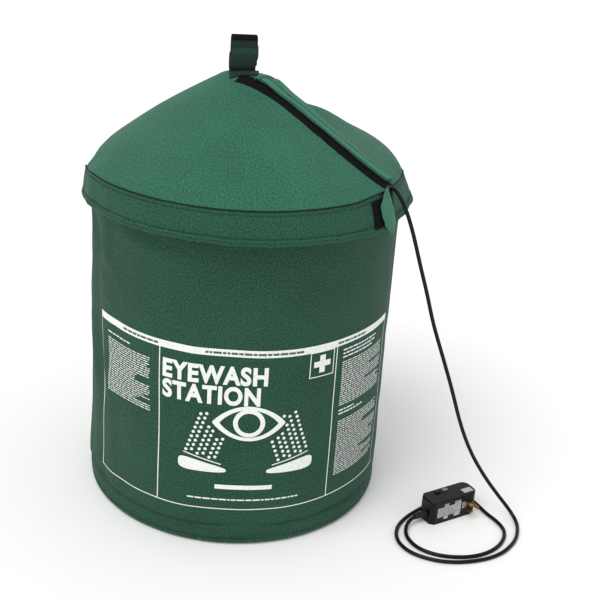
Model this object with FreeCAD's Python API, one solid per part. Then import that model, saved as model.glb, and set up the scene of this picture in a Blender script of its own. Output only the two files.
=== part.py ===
import FreeCAD, Part
import os
from math import atan, cos, pi, radians, sin, sqrt, tan

# A portable, heated eyewash station, in millimetres.
# Origin on the floor at the centre of the jacket, +Z up, the printed front of the jacket faces -Y.
# An azimuth is an angle in plan from the front, positive towards +X.

Vec = FreeCAD.Vector
up = Vec(0, 0, 1)

# Insulated jacket
jacket_r = 254.0          # a 20 inch drum
skin = 1.5                # outer fabric
wall_foam = 12.0
lining = 1.0
base_thick = 12.0
wall_top = 562.0
binding_high = 6.0
base_round = 9.0

# Insulated cover: a padded cone with a hanging band
rim_r = 270.0
seam_z = 588.0
apex_r = 36.0
apex_z = 725.0
cover_fabric = 1.2
cover_foam_thick = 8.0
cover_lining_thick = 1.0
band_low_r = 280.0
hem_z = 541.0
band_thick = 3.0
slit_azimuth = 50.0
notch_wide = 18.0
notch_r = 230.0
slit_start = Vec(-3, -42.5, 0)
slit_heading = 59.1       # azimuth of the slit's straight line, which ends at the notch
slit_long = 232.0
tape_wide = 25.0
tape_thick = 1.2
flap_hinge_azimuth = 56.5
flap_near_r, flap_far_r = 45.0, 258.0
flap_near_over, flap_far_over = -17.0, 9.0    # the flap's free edge, across from the notch's azimuth
soft_gap = 0.3            # clearance between soft pieces that move apart
flap_thick = 2.5
leaf_drop = 8.0
binding_out = 1.0         # the rolled hem stands this far out on both sides of the band
hem_roll_high, hem_roll_below = 8.0, 3.0
piping_gap, piping_wide, piping_high = 0.2, 4.4, 5.2

# Carrying strap on the apex
strap_x = -13.0
strap_wide = 42.0
strap_top = 784.0
strap_thick = 2.5
strap_r = 9.0             # outside radius of the loop's two ends
strap_pivot_z = 732.0
anchor_half = 1.5         # half the thickness of the upright tab
patch_deep, patch_over, patch_thick = 13.0, 4.0, 1.5

# Pressure tank
tank_r = 225.0
tank_wall = 2.5
tank_low = 30.0
tank_straight_low = 85.0
tank_straight_top = 400.0
tank_top = 470.0
foot_r = 190.0
foot_wall = 4.0
collar_wall = 3.0
collar_top = 582.0
ear_top = 597.0           # a local ear on the collar carries the cord gland
ear_angle = 9.0
hand_hole_half, hand_hole_high, hand_hole_z = 40.0, 34.0, 550.0
trim_wide = 1.5
trim_top = 585.0

# Water way, all on the tank's axis
port_r = 14.0
bore_r = 8.0
port_low, port_top = 455.0, 498.0
valve_r = 20.0
valve_top = 548.0
valve_z = 522.0
ball_r = 14.0
running_gap = 0.05
spindle_r = 5.0
tee_z = 560.0
tee_top = 573.0
tee_half = 32.0
arm_r = 9.0
arm_bore = 6.0
flag_y = -160.0
flag_hub_half, flag_hub_r = 6.0, 11.0
flag_arm_half = 7.0
flag_half, flag_low, flag_top, flag_thick, flag_corner = 30.0, 572.0, 615.0, 4.0, 9.0
strainer_r, strainer_low, strainer_top = 14.0, 37.0, 66.0
dip_low = 50.0
head_x = 70.0
head_r = 22.0
head_low, head_top = 592.0, 624.0

# Catch bowl
bowl_r = 141.0
bowl_floor_r = 96.0
bowl_low, bowl_high = 578.0, 632.0
bowl_wall = 2.5
drain_y = 55.0
drain_r = 16.0
waste_z = 505.0
waste_end_y = 234.0
bowl_lip = 7.0
drain_low = 540.0
drain_flange_r, drain_flange_thick = 24.0, 2.5
locknut_r, locknut_high = 15.0, 5.0

# Fittings on the tank's dome stand on one circle
fitting_r = 158.0
fill_azimuth = -125.0
gauge_azimuth = 53.0
air_azimuth = -53.0
relief_azimuth = 125.0
fill_neck_r, fill_neck_top = 26.0, 500.0
fill_cap_low, fill_cap_top = 484.0, 508.0
grip_half, grip_high = 4.0, 12.0
gauge_low, gauge_top, gauge_r = 505.0, 530.0, 26.0
stem_r = 6.0
arbor_r, needle_hub_r = 1.5, 3.0
needle_long, needle_tail, needle_half = 18.0, 7.0, 1.0
air_r = 5.0
air_nut_r, air_cap_r = 8.0, 6.0
nut_low = 466.0
air_nut_top, air_body_top, air_top = 474.0, 480.0, 494.0
relief_r = 9.0
relief_nut_r, relief_stem_r = 12.0, 3.5
relief_nut_top, relief_body_top, relief_top = 478.0, 490.0, 506.0
relief_eye_z = 500.0
ring_r, ring_wire_r, ring_play = 11.0, 1.2, 0.6

# Heating
mat_gap = 0.2
mat_thick = 2.3
mat_low, mat_top = 90.0, 330.0
lead_r = 3.0
mat_seam_gap = 14.0
thermostat_half, thermostat_high, thermostat_deep = 20.0, 40.0, 10.5

# Supply cord and its plug with a ground-fault breaker
cord_r = 3.25
gland_z = 586.0
gland_r = 6.5
gland_out = 239.0         # radius in plan at which the cord leaves the gland
gland_nut_r, gland_nut_long, dome_nut_from = 8.4, 4.5, 229.0
plug_corner = Vec(328, -207, 0)
plug_heading = 24.7       # direction of the plug's length, from +X
plug_long, plug_deep, plug_high = 98.0, 38.5, 43.0
plug_wall = 2.2
plug_nose, plug_tail, plug_edge = 13.0, 7.0, 2.0
relief_long = 22.0        # strain relief outside the case
boot_r, boot_tip_r = 6.2, 4.7
cord_entry_z = 14.0
blade_gap, blade_wide, blade_thick, blade_long = 12.7, 6.35, 1.5, 17.5    # the 15 A pattern
ground_r, ground_drop, ground_long = 2.4, 11.9, 20.0
button_places = (("reset_button", 30.0), ("test_button", 46.0))
button_v, button_half_u, button_half_v, button_slack, button_out = 29.0, 5.0, 3.0, 0.1, 2.2
label_thick = 0.4

# The cord's route, laid by hand: out of the slit, down beside the jacket, two turns on the floor, plug
cord_route = [
    (183.1, -153.6, 586), (193.5, -162.2, 586.8), (205.5, -169.8, 586.8), (217.5, -174.8, 581.5),
    (227.5, -177.6, 571.5), (236, -179, 557.5), (244.5, -179.2, 537.5), (254, -178.6, 508.5),
    (266.5, -176.6, 468), (282.5, -172.5, 422), (299, -171, 367), (322, -170.5, 307),
    (345, -172, 245), (365, -172.5, 184), (390, -173, 127), (421, -173.5, 78), (447, -174.5, 44),
    (464, -177, 23.5), (473.5, -184, 12.5), (479, -195, 5.5), (479.5, -209, 3.4),
    (475.5, -227, 3.3), (467, -249, 3.3), (452.5, -270, 3.3), (431, -291, 3.3), (402, -306, 3.3),
    (366, -313.5, 3.3), (330, -313, 3.3), (297, -301, 3.3), (272, -281, 3.3), (259.5, -251, 3.3),
    (265, -216, 3.3), (286, -186, 3.3), (314, -162, 3.3), (340, -143, 3.3), (365, -127.5, 3.3),
    (387, -119.5, 3.3), (405, -122, 3.3), (418, -134, 3.3), (426, -153, 3.3), (434, -177, 3.3),
    (446, -199, 3.3), (453, -225, 3.3), (444, -254, 3.3), (421, -281, 3.3), (388, -298, 3.3),
    (351, -301, 3.3), (317, -293, 3.3), (291, -274, 3.3), (278.5, -246, 3.3), (279.5, -223, 5),
    (286, -209, 9), (297.2, -200, 14), (309.1, -194.5, 14),
]


def save(name, shape):
    shape.exportStep("parts/%s.step" % name)


def drum(r, low, top, x=0.0, y=0.0):
    return Part.makeCylinder(r, top - low, Vec(x, y, low))


def pipe(inner, outer, low, top, x=0.0, y=0.0):
    return drum(outer, low, top, x, y).cut(drum(inner, low - 1, top + 1, x, y))


def rod(start, end, r):
    span = end.sub(start)
    return Part.makeCylinder(r, span.Length, start, span)


def block(x0, x1, y0, y1, z0, z1):
    return Part.makeBox(x1 - x0, y1 - y0, z1 - z0, Vec(x0, y0, z0))


def outline(points):
    return Part.Face(Part.makePolygon(points + [points[0]]))


def turned(profile, start=0.0, sweep=360.0):
    """Revolves a list of (radius, z) about Z, from an azimuth, through an angle."""
    face = outline([Vec(0, -r, z) for r, z in profile])
    face.rotate(Vec(0, 0, 0), up, start)
    return face.revolve(Vec(0, 0, 0), up, sweep)


def at_azimuth(shape, azimuth):
    """Turns a shape built at the front, -Y, to its azimuth."""
    copy = shape.copy()
    copy.rotate(Vec(0, 0, 0), up, azimuth)
    return copy


def plan(azimuth, r, z):
    return Vec(r * sin(radians(azimuth)), -r * cos(radians(azimuth)), z)


def rounded_path(points, share=0.45):
    """Straight runs joined by tangent arcs, each arc as large as its two runs allow."""
    edges, radii = [], []
    last = points[0]
    for before, corner, after in zip(points, points[1:], points[2:]):
        to_before, to_after = before.sub(corner), after.sub(corner)
        reach = share * min(to_before.Length, to_after.Length)
        start = corner.add(to_before.normalize().multiply(reach))
        end = corner.add(to_after.normalize().multiply(reach))
        half_turn = (pi - to_before.getAngle(to_after)) / 2
        radius = reach / tan(half_turn)
        inward = to_before.add(to_after).normalize()
        middle = corner.add(inward.multiply(radius / cos(half_turn) - radius))
        edges += [Part.LineSegment(last, start).toShape(), Part.Arc(start, middle, end).toShape()]
        radii.append(radius)
        last = end
    edges.append(Part.LineSegment(last, points[-1]).toShape())
    return Part.Wire(edges), radii


def swept(points, r, share=0.45):
    path, radii = rounded_path(points, share)
    ring = Part.Wire([Part.makeCircle(r, points[0], points[1].sub(points[0]))])
    return path.makePipeShell([ring], True, False), path.Length, radii


def dome_z(r):
    """Height of the tank's outside at a radius on its upper dome."""
    return tank_straight_top + (tank_top - tank_straight_top) * sqrt(1 - (r / tank_r) ** 2)


def dished(inset, low, high, straight_low, straight_top):
    """A closed vessel with elliptical ends, its surface moved in by an inset."""
    r = tank_r - inset
    lower = Part.makeSphere(r)
    upper = Part.makeSphere(r)
    squash = FreeCAD.Matrix()
    squash.scale(Vec(1, 1, (straight_low - low - inset) / r))
    lower = lower.transformGeometry(squash)
    squash = FreeCAD.Matrix()
    squash.scale(Vec(1, 1, (high - straight_top - inset) / r))
    upper = upper.transformGeometry(squash)
    lower.translate(Vec(0, 0, straight_low))
    upper.translate(Vec(0, 0, straight_top))
    return drum(r, straight_low, straight_top).fuse([lower, upper]).removeSplitter()


# The cover's slope, and its layers measured square to the slope
slope = (apex_z - seam_z) / (rim_r - apex_r)
tilt = atan(slope)


def cone_z(r, depth=0.0):
    return seam_z + (rim_r - r) * slope - depth / cos(tilt)


def cone_line(depth):
    """The outline of the cover's surface at a depth below its outside, from the axis to the rim."""
    corner_r = apex_r - depth * (1 / cos(tilt) - 1) / slope
    return [(0, apex_z - depth), (corner_r, apex_z - depth), (rim_r, cone_z(rim_r, depth))]


def cone_layer(outer_depth, inner_depth):
    return turned(cone_line(outer_depth) + cone_line(inner_depth)[::-1])


def band_r(z, out=0.0):
    """The radius of the band's inner face at a height, plus a distance out."""
    return rim_r + (band_low_r - rim_r) * (seam_z - z) / (seam_z - hem_z) + out


def band_layer(inner, outer, low, top):
    profile = [(band_r(top, inner), top), (band_r(top, outer), top),
               (band_r(low, outer), low), (band_r(low, inner), low)]
    return turned(profile)


def jacket():
    inner_skin = jacket_r - skin
    foam_in = inner_skin - wall_foam
    lining_in = foam_in - lining
    base = drum(inner_skin, 0, base_thick)
    low_edge = [edge for edge in base.Edges if edge.BoundBox.ZMax < 0.1]
    save("jacket_base", base.makeFillet(base_round, low_edge))
    shell_low = base_round
    save("jacket_shell", pipe(inner_skin, jacket_r, shell_low, wall_top - binding_high))
    save("wall_insulation", pipe(foam_in, inner_skin, base_thick, wall_top - binding_high))
    save("wall_lining", pipe(lining_in, foam_in, base_thick, wall_top - binding_high))
    save("wall_binding", pipe(lining_in, jacket_r, wall_top - binding_high, wall_top))


def across_notch(along, over):
    """A point in plan, out along the notch's azimuth and over towards the greater azimuth."""
    turn = radians(slit_azimuth)
    return Vec(along * sin(turn) + over * cos(turn), -along * cos(turn) + over * sin(turn), 0)


def cover():
    foam_depth = cover_fabric + cover_foam_thick
    full_depth = foam_depth + cover_lining_thick
    notch = block(-notch_wide / 2, notch_wide / 2, -rim_r - 40, -notch_r, hem_z - 20, seam_z + 40)
    notch = at_azimuth(notch, slit_azimuth)
    shell = cone_layer(0, cover_fabric).cut(notch)
    foam = cone_layer(cover_fabric, foam_depth).cut(notch)
    inside = cone_layer(foam_depth, full_depth).cut(notch)
    band = band_layer(0, band_thick, hem_z, seam_z).cut(notch)
    roll_low = hem_z - hem_roll_below
    hem = band_layer(-binding_out, band_thick + binding_out, roll_low, roll_low + hem_roll_high)
    hem = hem.cut(band_layer(0, band_thick, hem_z, seam_z)).cut(notch)
    piping_in = rim_r + piping_gap
    piping = [(piping_in, seam_z), (rim_r + band_thick, seam_z), (piping_in + piping_wide, seam_z + 2.4),
              (piping_in + 3.2, seam_z + 5), (piping_in + 0.6, seam_z + piping_high),
              (piping_in, seam_z + 2.5)]
    piping = turned(piping).cut(notch)
    for name, shape in (("cover_shell", shell), ("cover_foam", foam), ("cover_lining", inside),
                        ("cover_band", band), ("hem_binding", hem), ("seam_piping", piping)):
        save(name, shape)

    strip = at_azimuth(block(-tape_wide / 2, tape_wide / 2, -slit_long, 0, seam_z, apex_z), slit_heading)
    strip.translate(slit_start)
    save("slope_tape", cone_layer(-tape_thick, 0).common(strip))

    # The flap's free edge runs beside the slit, and its hinged edge straight down the slope
    corners = [across_notch(flap_near_r, flap_near_over), across_notch(flap_far_r, flap_far_over),
               plan(flap_hinge_azimuth, flap_far_r, 0), plan(flap_hinge_azimuth, flap_near_r, 0)]
    prism = outline(corners).extrude(Vec(0, 0, apex_z + 50))
    flap_low = tape_thick + soft_gap
    save("slit_flap", cone_layer(-flap_low - flap_thick, -flap_low).common(prism))

    # The loose end of the band hangs over the notch's left side as a leaf
    leaf = [(-24, seam_z - 3), (-33, seam_z - 14), (-26, hem_z + 14), (-10, hem_z - leaf_drop),
            (1, hem_z + 15), (0, seam_z - 16), (-4, seam_z - 4)]
    leaf = outline([Vec(over, -rim_r - 40, z) for over, z in leaf])
    leaf = at_azimuth(leaf.extrude(Vec(0, 80, 0)), slit_azimuth)
    clear_out = band_thick + binding_out
    leaf_layer = band_layer(clear_out, clear_out + flap_thick, hem_z - leaf_drop - 1, seam_z - 3)
    save("band_flap", leaf_layer.common(leaf))


def strap():
    left, right = strap_x - strap_wide / 2, strap_x + strap_wide / 2
    low_centre = strap_pivot_z + 4 + strap_r
    high_centre = strap_top - strap_r

    def stadium(r, x0, x1):
        ends = [rod(Vec(x0, 0, z), Vec(x1, 0, z), r) for z in (low_centre, high_centre)]
        return ends[0].fuse([ends[1], block(x0, x1, -r, r, low_centre, high_centre)]).removeSplitter()

    loop = stadium(strap_r, left, right).cut(stadium(strap_r - strap_thick, left - 1, right + 1))
    neck_low = strap_pivot_z + 1
    neck = block(left, right, -strap_thick, strap_thick, neck_low, low_centre - strap_r + strap_thick / 2)
    neck = neck.cut(stadium(strap_r - strap_thick, left - 1, right + 1))
    save("apex_strap", loop.fuse(neck).removeSplitter())

    tab = block(left, right, -anchor_half, anchor_half, apex_z, strap_pivot_z - 0.5)
    patch = block(left - patch_over, right + patch_over, -patch_deep, patch_deep, apex_z,
                  apex_z + patch_thick)
    save("strap_anchor", tab.fuse(patch.common(drum(apex_r, apex_z, apex_z + 20))).removeSplitter())


def tank():
    solid = dished(0, tank_low, tank_top, tank_straight_low, tank_straight_top)
    hollow = dished(tank_wall, tank_low, tank_top, tank_straight_low, tank_straight_top)
    foot = pipe(foot_r - foot_wall / 2, foot_r + foot_wall / 2, base_thick, tank_straight_low).cut(solid)
    collar = pipe(tank_r - collar_wall, tank_r, tank_straight_top + 5, collar_top).cut(solid)
    ear_profile = [(tank_r - collar_wall, collar_top - 12), (tank_r, collar_top - 12), (tank_r, ear_top),
                   (tank_r - collar_wall, ear_top)]
    collar = collar.fuse(turned(ear_profile, slit_azimuth - ear_angle / 2, ear_angle)).removeSplitter()
    for side in (-1, 1):
        x0, x1 = sorted((side * (tank_r - 30), side * (tank_r + 5)))
        half, end_r, z = hand_hole_half, hand_hole_high / 2, hand_hole_z
        ends = [rod(Vec(x0, y, z), Vec(x1, y, z), end_r) for y in (-half, half)]
        middle = block(x0, x1, -half, half, z - end_r, z + end_r)
        collar = collar.cut(ends[0].fuse([ends[1], middle]))
    shell = solid.cut(hollow)
    shell = shell.cut(drum(port_r, port_low, port_top))
    for azimuth, r in ((fill_azimuth, fill_neck_r), (gauge_azimuth, stem_r), (air_azimuth, air_r),
                       (relief_azimuth, relief_r)):
        place = plan(azimuth, fitting_r, 0)
        shell = shell.cut(drum(r, tank_straight_top, tank_top + 5, place.x, place.y))
    gland_tip = plan(slit_azimuth, tank_r + 5, gland_z)
    gland_root = plan(slit_azimuth, tank_r - 8, gland_z)
    collar = collar.cut(rod(gland_root, gland_tip, gland_r))
    collar = collar.cut(rod(Vec(0, tank_r - 30, waste_z), Vec(0, tank_r + 5, waste_z), drain_r + 2))
    collar = collar.cut(lead_hole())
    trim = pipe(tank_r - collar_wall - trim_wide, tank_r + trim_wide, collar_top - 2, trim_top)
    trim = trim.cut(pipe(tank_r - collar_wall, tank_r, collar_top - 5, collar_top))
    gap_angle = ear_angle + 2
    near, far, low, high = tank_r - 10, tank_r + 10, collar_top - 5, trim_top + 5
    ear_gap = turned([(near, low), (far, low), (far, high), (near, high)], slit_azimuth - gap_angle / 2,
                     gap_angle)
    trim = trim.cut(ear_gap)
    save("tank_shell", shell)
    save("foot_ring", foot)
    save("guard_collar", collar)
    save("collar_trim", trim)


def waterway():
    save("port_nipple", pipe(bore_r, port_r, port_low, port_top))
    save("dip_tube", pipe(bore_r - 1.5, bore_r, dip_low, port_low + 20))
    strainer = drum(strainer_r, strainer_low, strainer_top).cut(drum(bore_r, dip_low, strainer_top + 1))
    strainer = strainer.cut(drum(strainer_r - 2, strainer_low + 2, dip_low))
    for step in range(8):
        angle = step * 45.0
        slot = block(-1.5, 1.5, -strainer_r - 1, -strainer_r + 3, strainer_low + 4, dip_low - 1)
        strainer = strainer.cut(at_azimuth(slot, angle))
    save("strainer", strainer)

    chamber = Part.makeSphere(ball_r, Vec(0, 0, valve_z))
    body = drum(valve_r, port_top, valve_top).cut(chamber).cut(drum(bore_r, port_top - 1, valve_top + 1))
    front = Vec(0, -valve_r - 6, valve_z)
    boss = rod(Vec(0, -valve_r + 4, valve_z), front, spindle_r + 4)
    body = body.fuse(boss.cut(chamber)).removeSplitter()
    body = body.cut(rod(Vec(0, 0, valve_z), front.add(Vec(0, -1, 0)), spindle_r + running_gap))
    save("valve_body", body)
    ball = Part.makeSphere(ball_r - running_gap, Vec(0, 0, valve_z))
    port = rod(Vec(-ball_r, 0, valve_z), Vec(ball_r, 0, valve_z), bore_r)
    ball = ball.cut(port)
    save("valve_ball", ball)
    spindle = rod(Vec(0, -ball_r + 2, valve_z), Vec(0, flag_y - flag_hub_half, valve_z), spindle_r)
    spindle = spindle.cut(Part.makeSphere(ball_r - running_gap, Vec(0, 0, valve_z)))
    save("valve_spindle", spindle)

    # Push flag: a hub on the spindle, an arm, and a plate to push
    near, far = flag_y - flag_thick / 2, flag_y + flag_thick / 2
    hub = rod(Vec(0, flag_y - flag_hub_half, valve_z), Vec(0, flag_y + flag_hub_half, valve_z), flag_hub_r)
    arm = block(-flag_arm_half, flag_arm_half, near, far, valve_z, flag_low + 2)
    plate = block(-flag_half, flag_half, near, far, flag_low, flag_top)
    corners = [edge for edge in plate.Edges if edge.BoundBox.YLength > flag_thick - 0.1]
    plate = plate.makeFillet(flag_corner, corners)
    flag = hub.fuse([arm, plate]).removeSplitter()
    save("push_flag", flag.cut(rod(Vec(0, 0, valve_z), Vec(0, flag_y - 40, valve_z), spindle_r)))

    # The bracket on the collar carries the spindle's front end, between the valve and the flag
    half, thick, bracket_y = 18.0, 4.0, flag_y + 16
    shelf_z, plate_top, foot_top = valve_z - 16, valve_z + 14, valve_z + 4
    plate = block(-half, half, bracket_y - thick / 2, bracket_y + thick / 2, shelf_z, plate_top)
    shelf = block(-half, half, -tank_r, bracket_y + thick / 2, shelf_z - thick, shelf_z)
    foot = block(-half, half, -tank_r, -tank_r + collar_wall + 6, shelf_z - thick, foot_top)
    bracket = plate.fuse([shelf, foot]).removeSplitter().common(drum(tank_r - collar_wall, 400, 600))
    save("spindle_bracket", bracket.cut(rod(Vec(0, 0, valve_z), Vec(0, -tank_r - 5, valve_z),
                                            spindle_r + running_gap)))

    run = rod(Vec(-tee_half, 0, tee_z), Vec(tee_half, 0, tee_z), arm_r + 3)
    tee = drum(port_r, valve_top, tee_top).fuse(run)
    socket = tee_half - 8
    tee = tee.removeSplitter().cut(drum(bore_r, valve_top - 1, tee_z))
    tee = tee.cut(rod(Vec(-socket, 0, tee_z), Vec(socket, 0, tee_z), arm_bore))
    for side in (-1, 1):
        tee = tee.cut(rod(Vec(side * socket, 0, tee_z), Vec(side * (tee_half + 1), 0, tee_z), arm_r))
    save("tee", tee)

    arms = []
    elbow_share = 0.3
    for side in (-1, 1):
        x = side * head_x
        route = [Vec(side * socket, 0, tee_z), Vec(x, 0, tee_z), Vec(x, 0, head_low + 8)]
        arms.append(swept(route, arm_r, elbow_share)[0].cut(swept(route, arm_bore, elbow_share)[0]))
    save("supply_arms", Part.makeCompound(arms))


def spray_heads():
    hinge_y, hinge_z = head_r + 3.5, head_top - 2.5
    lug_half, knuckle_out, pin_r, knuckle_r = 4.0, 9.0, 1.4, 3.0
    screens = []
    for side, name in ((-1, "left"), (1, "right")):
        x = side * head_x
        profile = [(0, head_low), (12, head_low), (12, head_low + 4), (head_r, head_low + 14),
                   (head_r, head_top), (0, head_top)]
        body = turned(profile)
        body = body.cut(drum(arm_r, head_low - 1, head_low + 8)).cut(drum(arm_bore, head_low, head_top))
        body = body.cut(drum(head_r - 3, head_low + 15, head_top + 1))
        lug = block(-lug_half, lug_half, head_r - 2, hinge_y, hinge_z - knuckle_r, hinge_z + 1.5)
        knuckle = rod(Vec(-lug_half, hinge_y, hinge_z), Vec(lug_half, hinge_y, hinge_z), knuckle_r - 0.5)
        lug = lug.fuse(knuckle)
        lug = lug.cut(drum(head_r - 3, head_low, head_top + 5))
        lug = lug.cut(rod(Vec(-20, hinge_y, hinge_z), Vec(20, hinge_y, hinge_z), pin_r + running_gap))
        body = body.fuse(lug).removeSplitter()
        body.translate(Vec(x, 0, 0))
        save(name + "_head", body)

        screen = drum(head_r - 3, head_top - 8, head_top - 5)
        for step in range(12):
            spot = plan(step * 30.0, (head_r - 3) * (0.75 if step % 2 else 0.42), 0)
            screen = screen.cut(drum(1.6, head_top - 9, head_top - 4, spot.x, spot.y))
        screen.translate(Vec(x, 0, 0))
        screens.append(screen)

        # A flip cap on two knuckles beside the head's lug, with its pin moulded on
        gap = 0.3
        cap_low, cap_top = head_top + gap, head_top + 4
        cap = drum(head_r, cap_low, cap_top)
        for out in (-1, 1):
            x0, x1 = sorted((out * (lug_half + gap), out * knuckle_out))
            ear = block(x0, x1, head_r - 4, hinge_y, cap_low, cap_top)
            ear = ear.fuse(block(x0, x1, head_r + gap + 0.4, hinge_y + knuckle_r, hinge_z, cap_top))
            cap = cap.fuse(ear)
            cap = cap.fuse(rod(Vec(x0, hinge_y, hinge_z), Vec(x1, hinge_y, hinge_z), knuckle_r - 0.1))
        cap = cap.fuse(rod(Vec(-knuckle_out, hinge_y, hinge_z), Vec(knuckle_out, hinge_y, hinge_z), pin_r))
        thumb = block(-6, 6, -head_r - 5, -head_r + 2, cap_low, cap_low + 2)
        cap = cap.fuse(thumb).removeSplitter()
        cap.translate(Vec(x, 0, 0))
        save(name + "_cap", cap)
    save("flow_screens", Part.makeCompound(screens))


def catch_bowl():
    lip_r, lip_low, top = bowl_r + bowl_lip, bowl_high - 3, bowl_low + bowl_wall
    bowl = turned([(0, bowl_low), (bowl_floor_r, bowl_low), (bowl_r, lip_low), (lip_r, lip_low),
                   (lip_r, bowl_high), (bowl_r - 1.5, bowl_high), (bowl_floor_r - 1, top), (0, top)])
    nuts = []
    for x in (-head_x, head_x):
        bowl = bowl.cut(drum(arm_r, bowl_low - 1, bowl_low + 5, x))
        nuts.append(pipe(arm_r, locknut_r, bowl_low - locknut_high, bowl_low, x))
        nuts.append(pipe(arm_r, locknut_r, top, top + locknut_high, x))
    bowl = bowl.cut(drum(drain_r, bowl_low - 1, bowl_low + 5, 0, drain_y))
    save("bowl", bowl)
    save("bowl_locknuts", Part.makeCompound(nuts))
    drain = pipe(drain_r - 3, drain_r, drain_low, top, 0, drain_y)
    flange = pipe(drain_r - 3, drain_flange_r, top, top + drain_flange_thick, 0, drain_y)
    bars = block(-drain_r + 1, drain_r - 1, drain_y - 1, drain_y + 1, top, top + drain_flange_thick)
    save("bowl_drain", drain.fuse([flange, bars]).removeSplitter())
    route = [Vec(0, drain_y, drain_low + 8), Vec(0, drain_y, waste_z), Vec(0, waste_end_y, waste_z)]
    outer = swept(route, drain_r + 2, 0.6)[0]
    inner = swept(route, drain_r, 0.6)[0]
    save("waste_pipe", outer.cut(inner))


def fittings():
    low = dome_z(fitting_r) - 12
    x, y = plan(fill_azimuth, fitting_r, 0)[:2]
    save("fill_neck", pipe(fill_neck_r - 3, fill_neck_r, low, fill_neck_top, x, y))
    cap = drum(fill_neck_r + 6, fill_cap_low, fill_cap_top, x, y)
    cap = cap.cut(drum(fill_neck_r + 0.1, fill_cap_low - 1, fill_neck_top + 0.3, x, y))
    grip = block(x - fill_neck_r, x + fill_neck_r, y - grip_half, y + grip_half, fill_cap_top - 1,
                 fill_cap_top + grip_high)
    save("fill_cap", cap.fuse(grip).removeSplitter())

    x, y = plan(gauge_azimuth, fitting_r, 0)[:2]
    case = drum(stem_r, low, gauge_low + 1, x, y)
    cup = drum(gauge_r, gauge_low, gauge_top, x, y)
    cup = cup.cut(drum(gauge_r - 2, gauge_low + 10, gauge_top + 1, x, y))
    arbor_hole = drum(arbor_r + running_gap, gauge_low + 4, gauge_top, x, y)
    save("gauge_case", case.fuse(cup).removeSplitter().cut(arbor_hole))
    needle_z = gauge_low + 13
    needle = drum(needle_hub_r, needle_z, needle_z + 2.5, x, y)
    needle = needle.fuse(drum(arbor_r, gauge_low + 5, needle_z + 1, x, y))
    hand = block(x - needle_half, x + needle_half, y - needle_long, y + needle_tail, needle_z + 0.5,
                 needle_z + 1.5)
    save("gauge_needle", needle.fuse(hand).removeSplitter())
    save("gauge_lens", drum(gauge_r - 2, gauge_top - 4, gauge_top - 1, x, y))

    x, y = plan(air_azimuth, fitting_r, 0)[:2]
    air = drum(air_r, low, air_body_top, x, y).fuse(drum(air_nut_r, nut_low, air_nut_top, x, y))
    save("air_valve", air.fuse(drum(air_cap_r, air_body_top, air_top, x, y)).removeSplitter())

    # Relief valve: body and stem with an eye, and a ring through the eye
    x, y = plan(relief_azimuth, fitting_r, 0)[:2]
    body = drum(relief_r, low, relief_body_top, x, y)
    body = body.fuse(drum(relief_nut_r, nut_low, relief_nut_top, x, y))
    body = body.fuse(drum(relief_stem_r, relief_body_top - 1, relief_top, x, y)).removeSplitter()
    eye = Vec(x, y, relief_eye_z)
    reach = Vec(relief_nut_r, 0, 0)
    body = body.cut(rod(eye.sub(reach), eye.add(reach), ring_wire_r + ring_play))
    save("relief_valve", body)
    save("relief_ring", Part.makeTorus(ring_r, ring_wire_r, eye.add(Vec(0, 0, ring_r)), Vec(0, 1, 0)))


def lead_points():
    """The heater's lead, from the thermostat through the collar and up to the gland."""
    inside, outside = 192.0, tank_r + 8
    thermostat_top = mat_top
    path = [(outside, thermostat_top), (outside, 452.0), (208.0, 492.0), (inside, gland_z),
            (tank_r - 9, gland_z)]
    return [plan(slit_azimuth, r, z) for r, z in path]


def lead_hole():
    points = lead_points()
    return rod(points[1], points[2], lead_r + 1.5)


def heating():
    inner = tank_r + mat_gap
    outer = inner + mat_thick
    mat = pipe(inner, outer, mat_low, mat_top)
    seam = block(-mat_seam_gap / 2, mat_seam_gap / 2, tank_r - 5, tank_r + 10, mat_low - 1, mat_top + 1)
    save("heater_mat", mat.cut(seam))
    box = block(-thermostat_half, thermostat_half, -outer - thermostat_deep, -outer + 4,
                mat_top - thermostat_high, mat_top)
    box = box.cut(drum(outer, mat_low, mat_top + 1))
    save("thermostat", at_azimuth(box, slit_azimuth))
    save("heater_lead", swept(lead_points(), lead_r)[0])

    # Cord gland: a threaded body through the collar, a locknut on each side of it and a dome nut
    nut_r = gland_nut_r
    wall_in = tank_r - collar_wall
    body_end = gland_out - 2
    stations = ((tank_r - 9, body_end, cord_r, gland_r), (wall_in - gland_nut_long, wall_in, gland_r, nut_r),
                (tank_r, dome_nut_from, gland_r, nut_r), (dome_nut_from, body_end, gland_r, nut_r),
                (body_end, gland_out, cord_r, nut_r - 1.5))
    pieces = []
    for near, far, bore, outer in stations:
        near_point, far_point = plan(slit_azimuth, near, gland_z), plan(slit_azimuth, far, gland_z)
        piece = rod(near_point, far_point, outer).cut(rod(near_point, far_point, bore))
        if bore == gland_r:
            piece = piece.cut(pipe(wall_in, tank_r, gland_z - 2 * nut_r, gland_z + 2 * nut_r))
        pieces.append(piece)
    dome_nut = pieces[3].fuse(pieces[4]).removeSplitter()
    save("cord_gland", Part.makeCompound(pieces[:3] + [dome_nut]))


def plug_place(shape):
    """Puts a shape built on the plug's own axes, length X, depth Y and height Z, where the plug lies."""
    copy = shape.copy()
    copy.rotate(Vec(0, 0, 0), up, plug_heading)
    copy.translate(plug_corner)
    return copy


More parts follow.
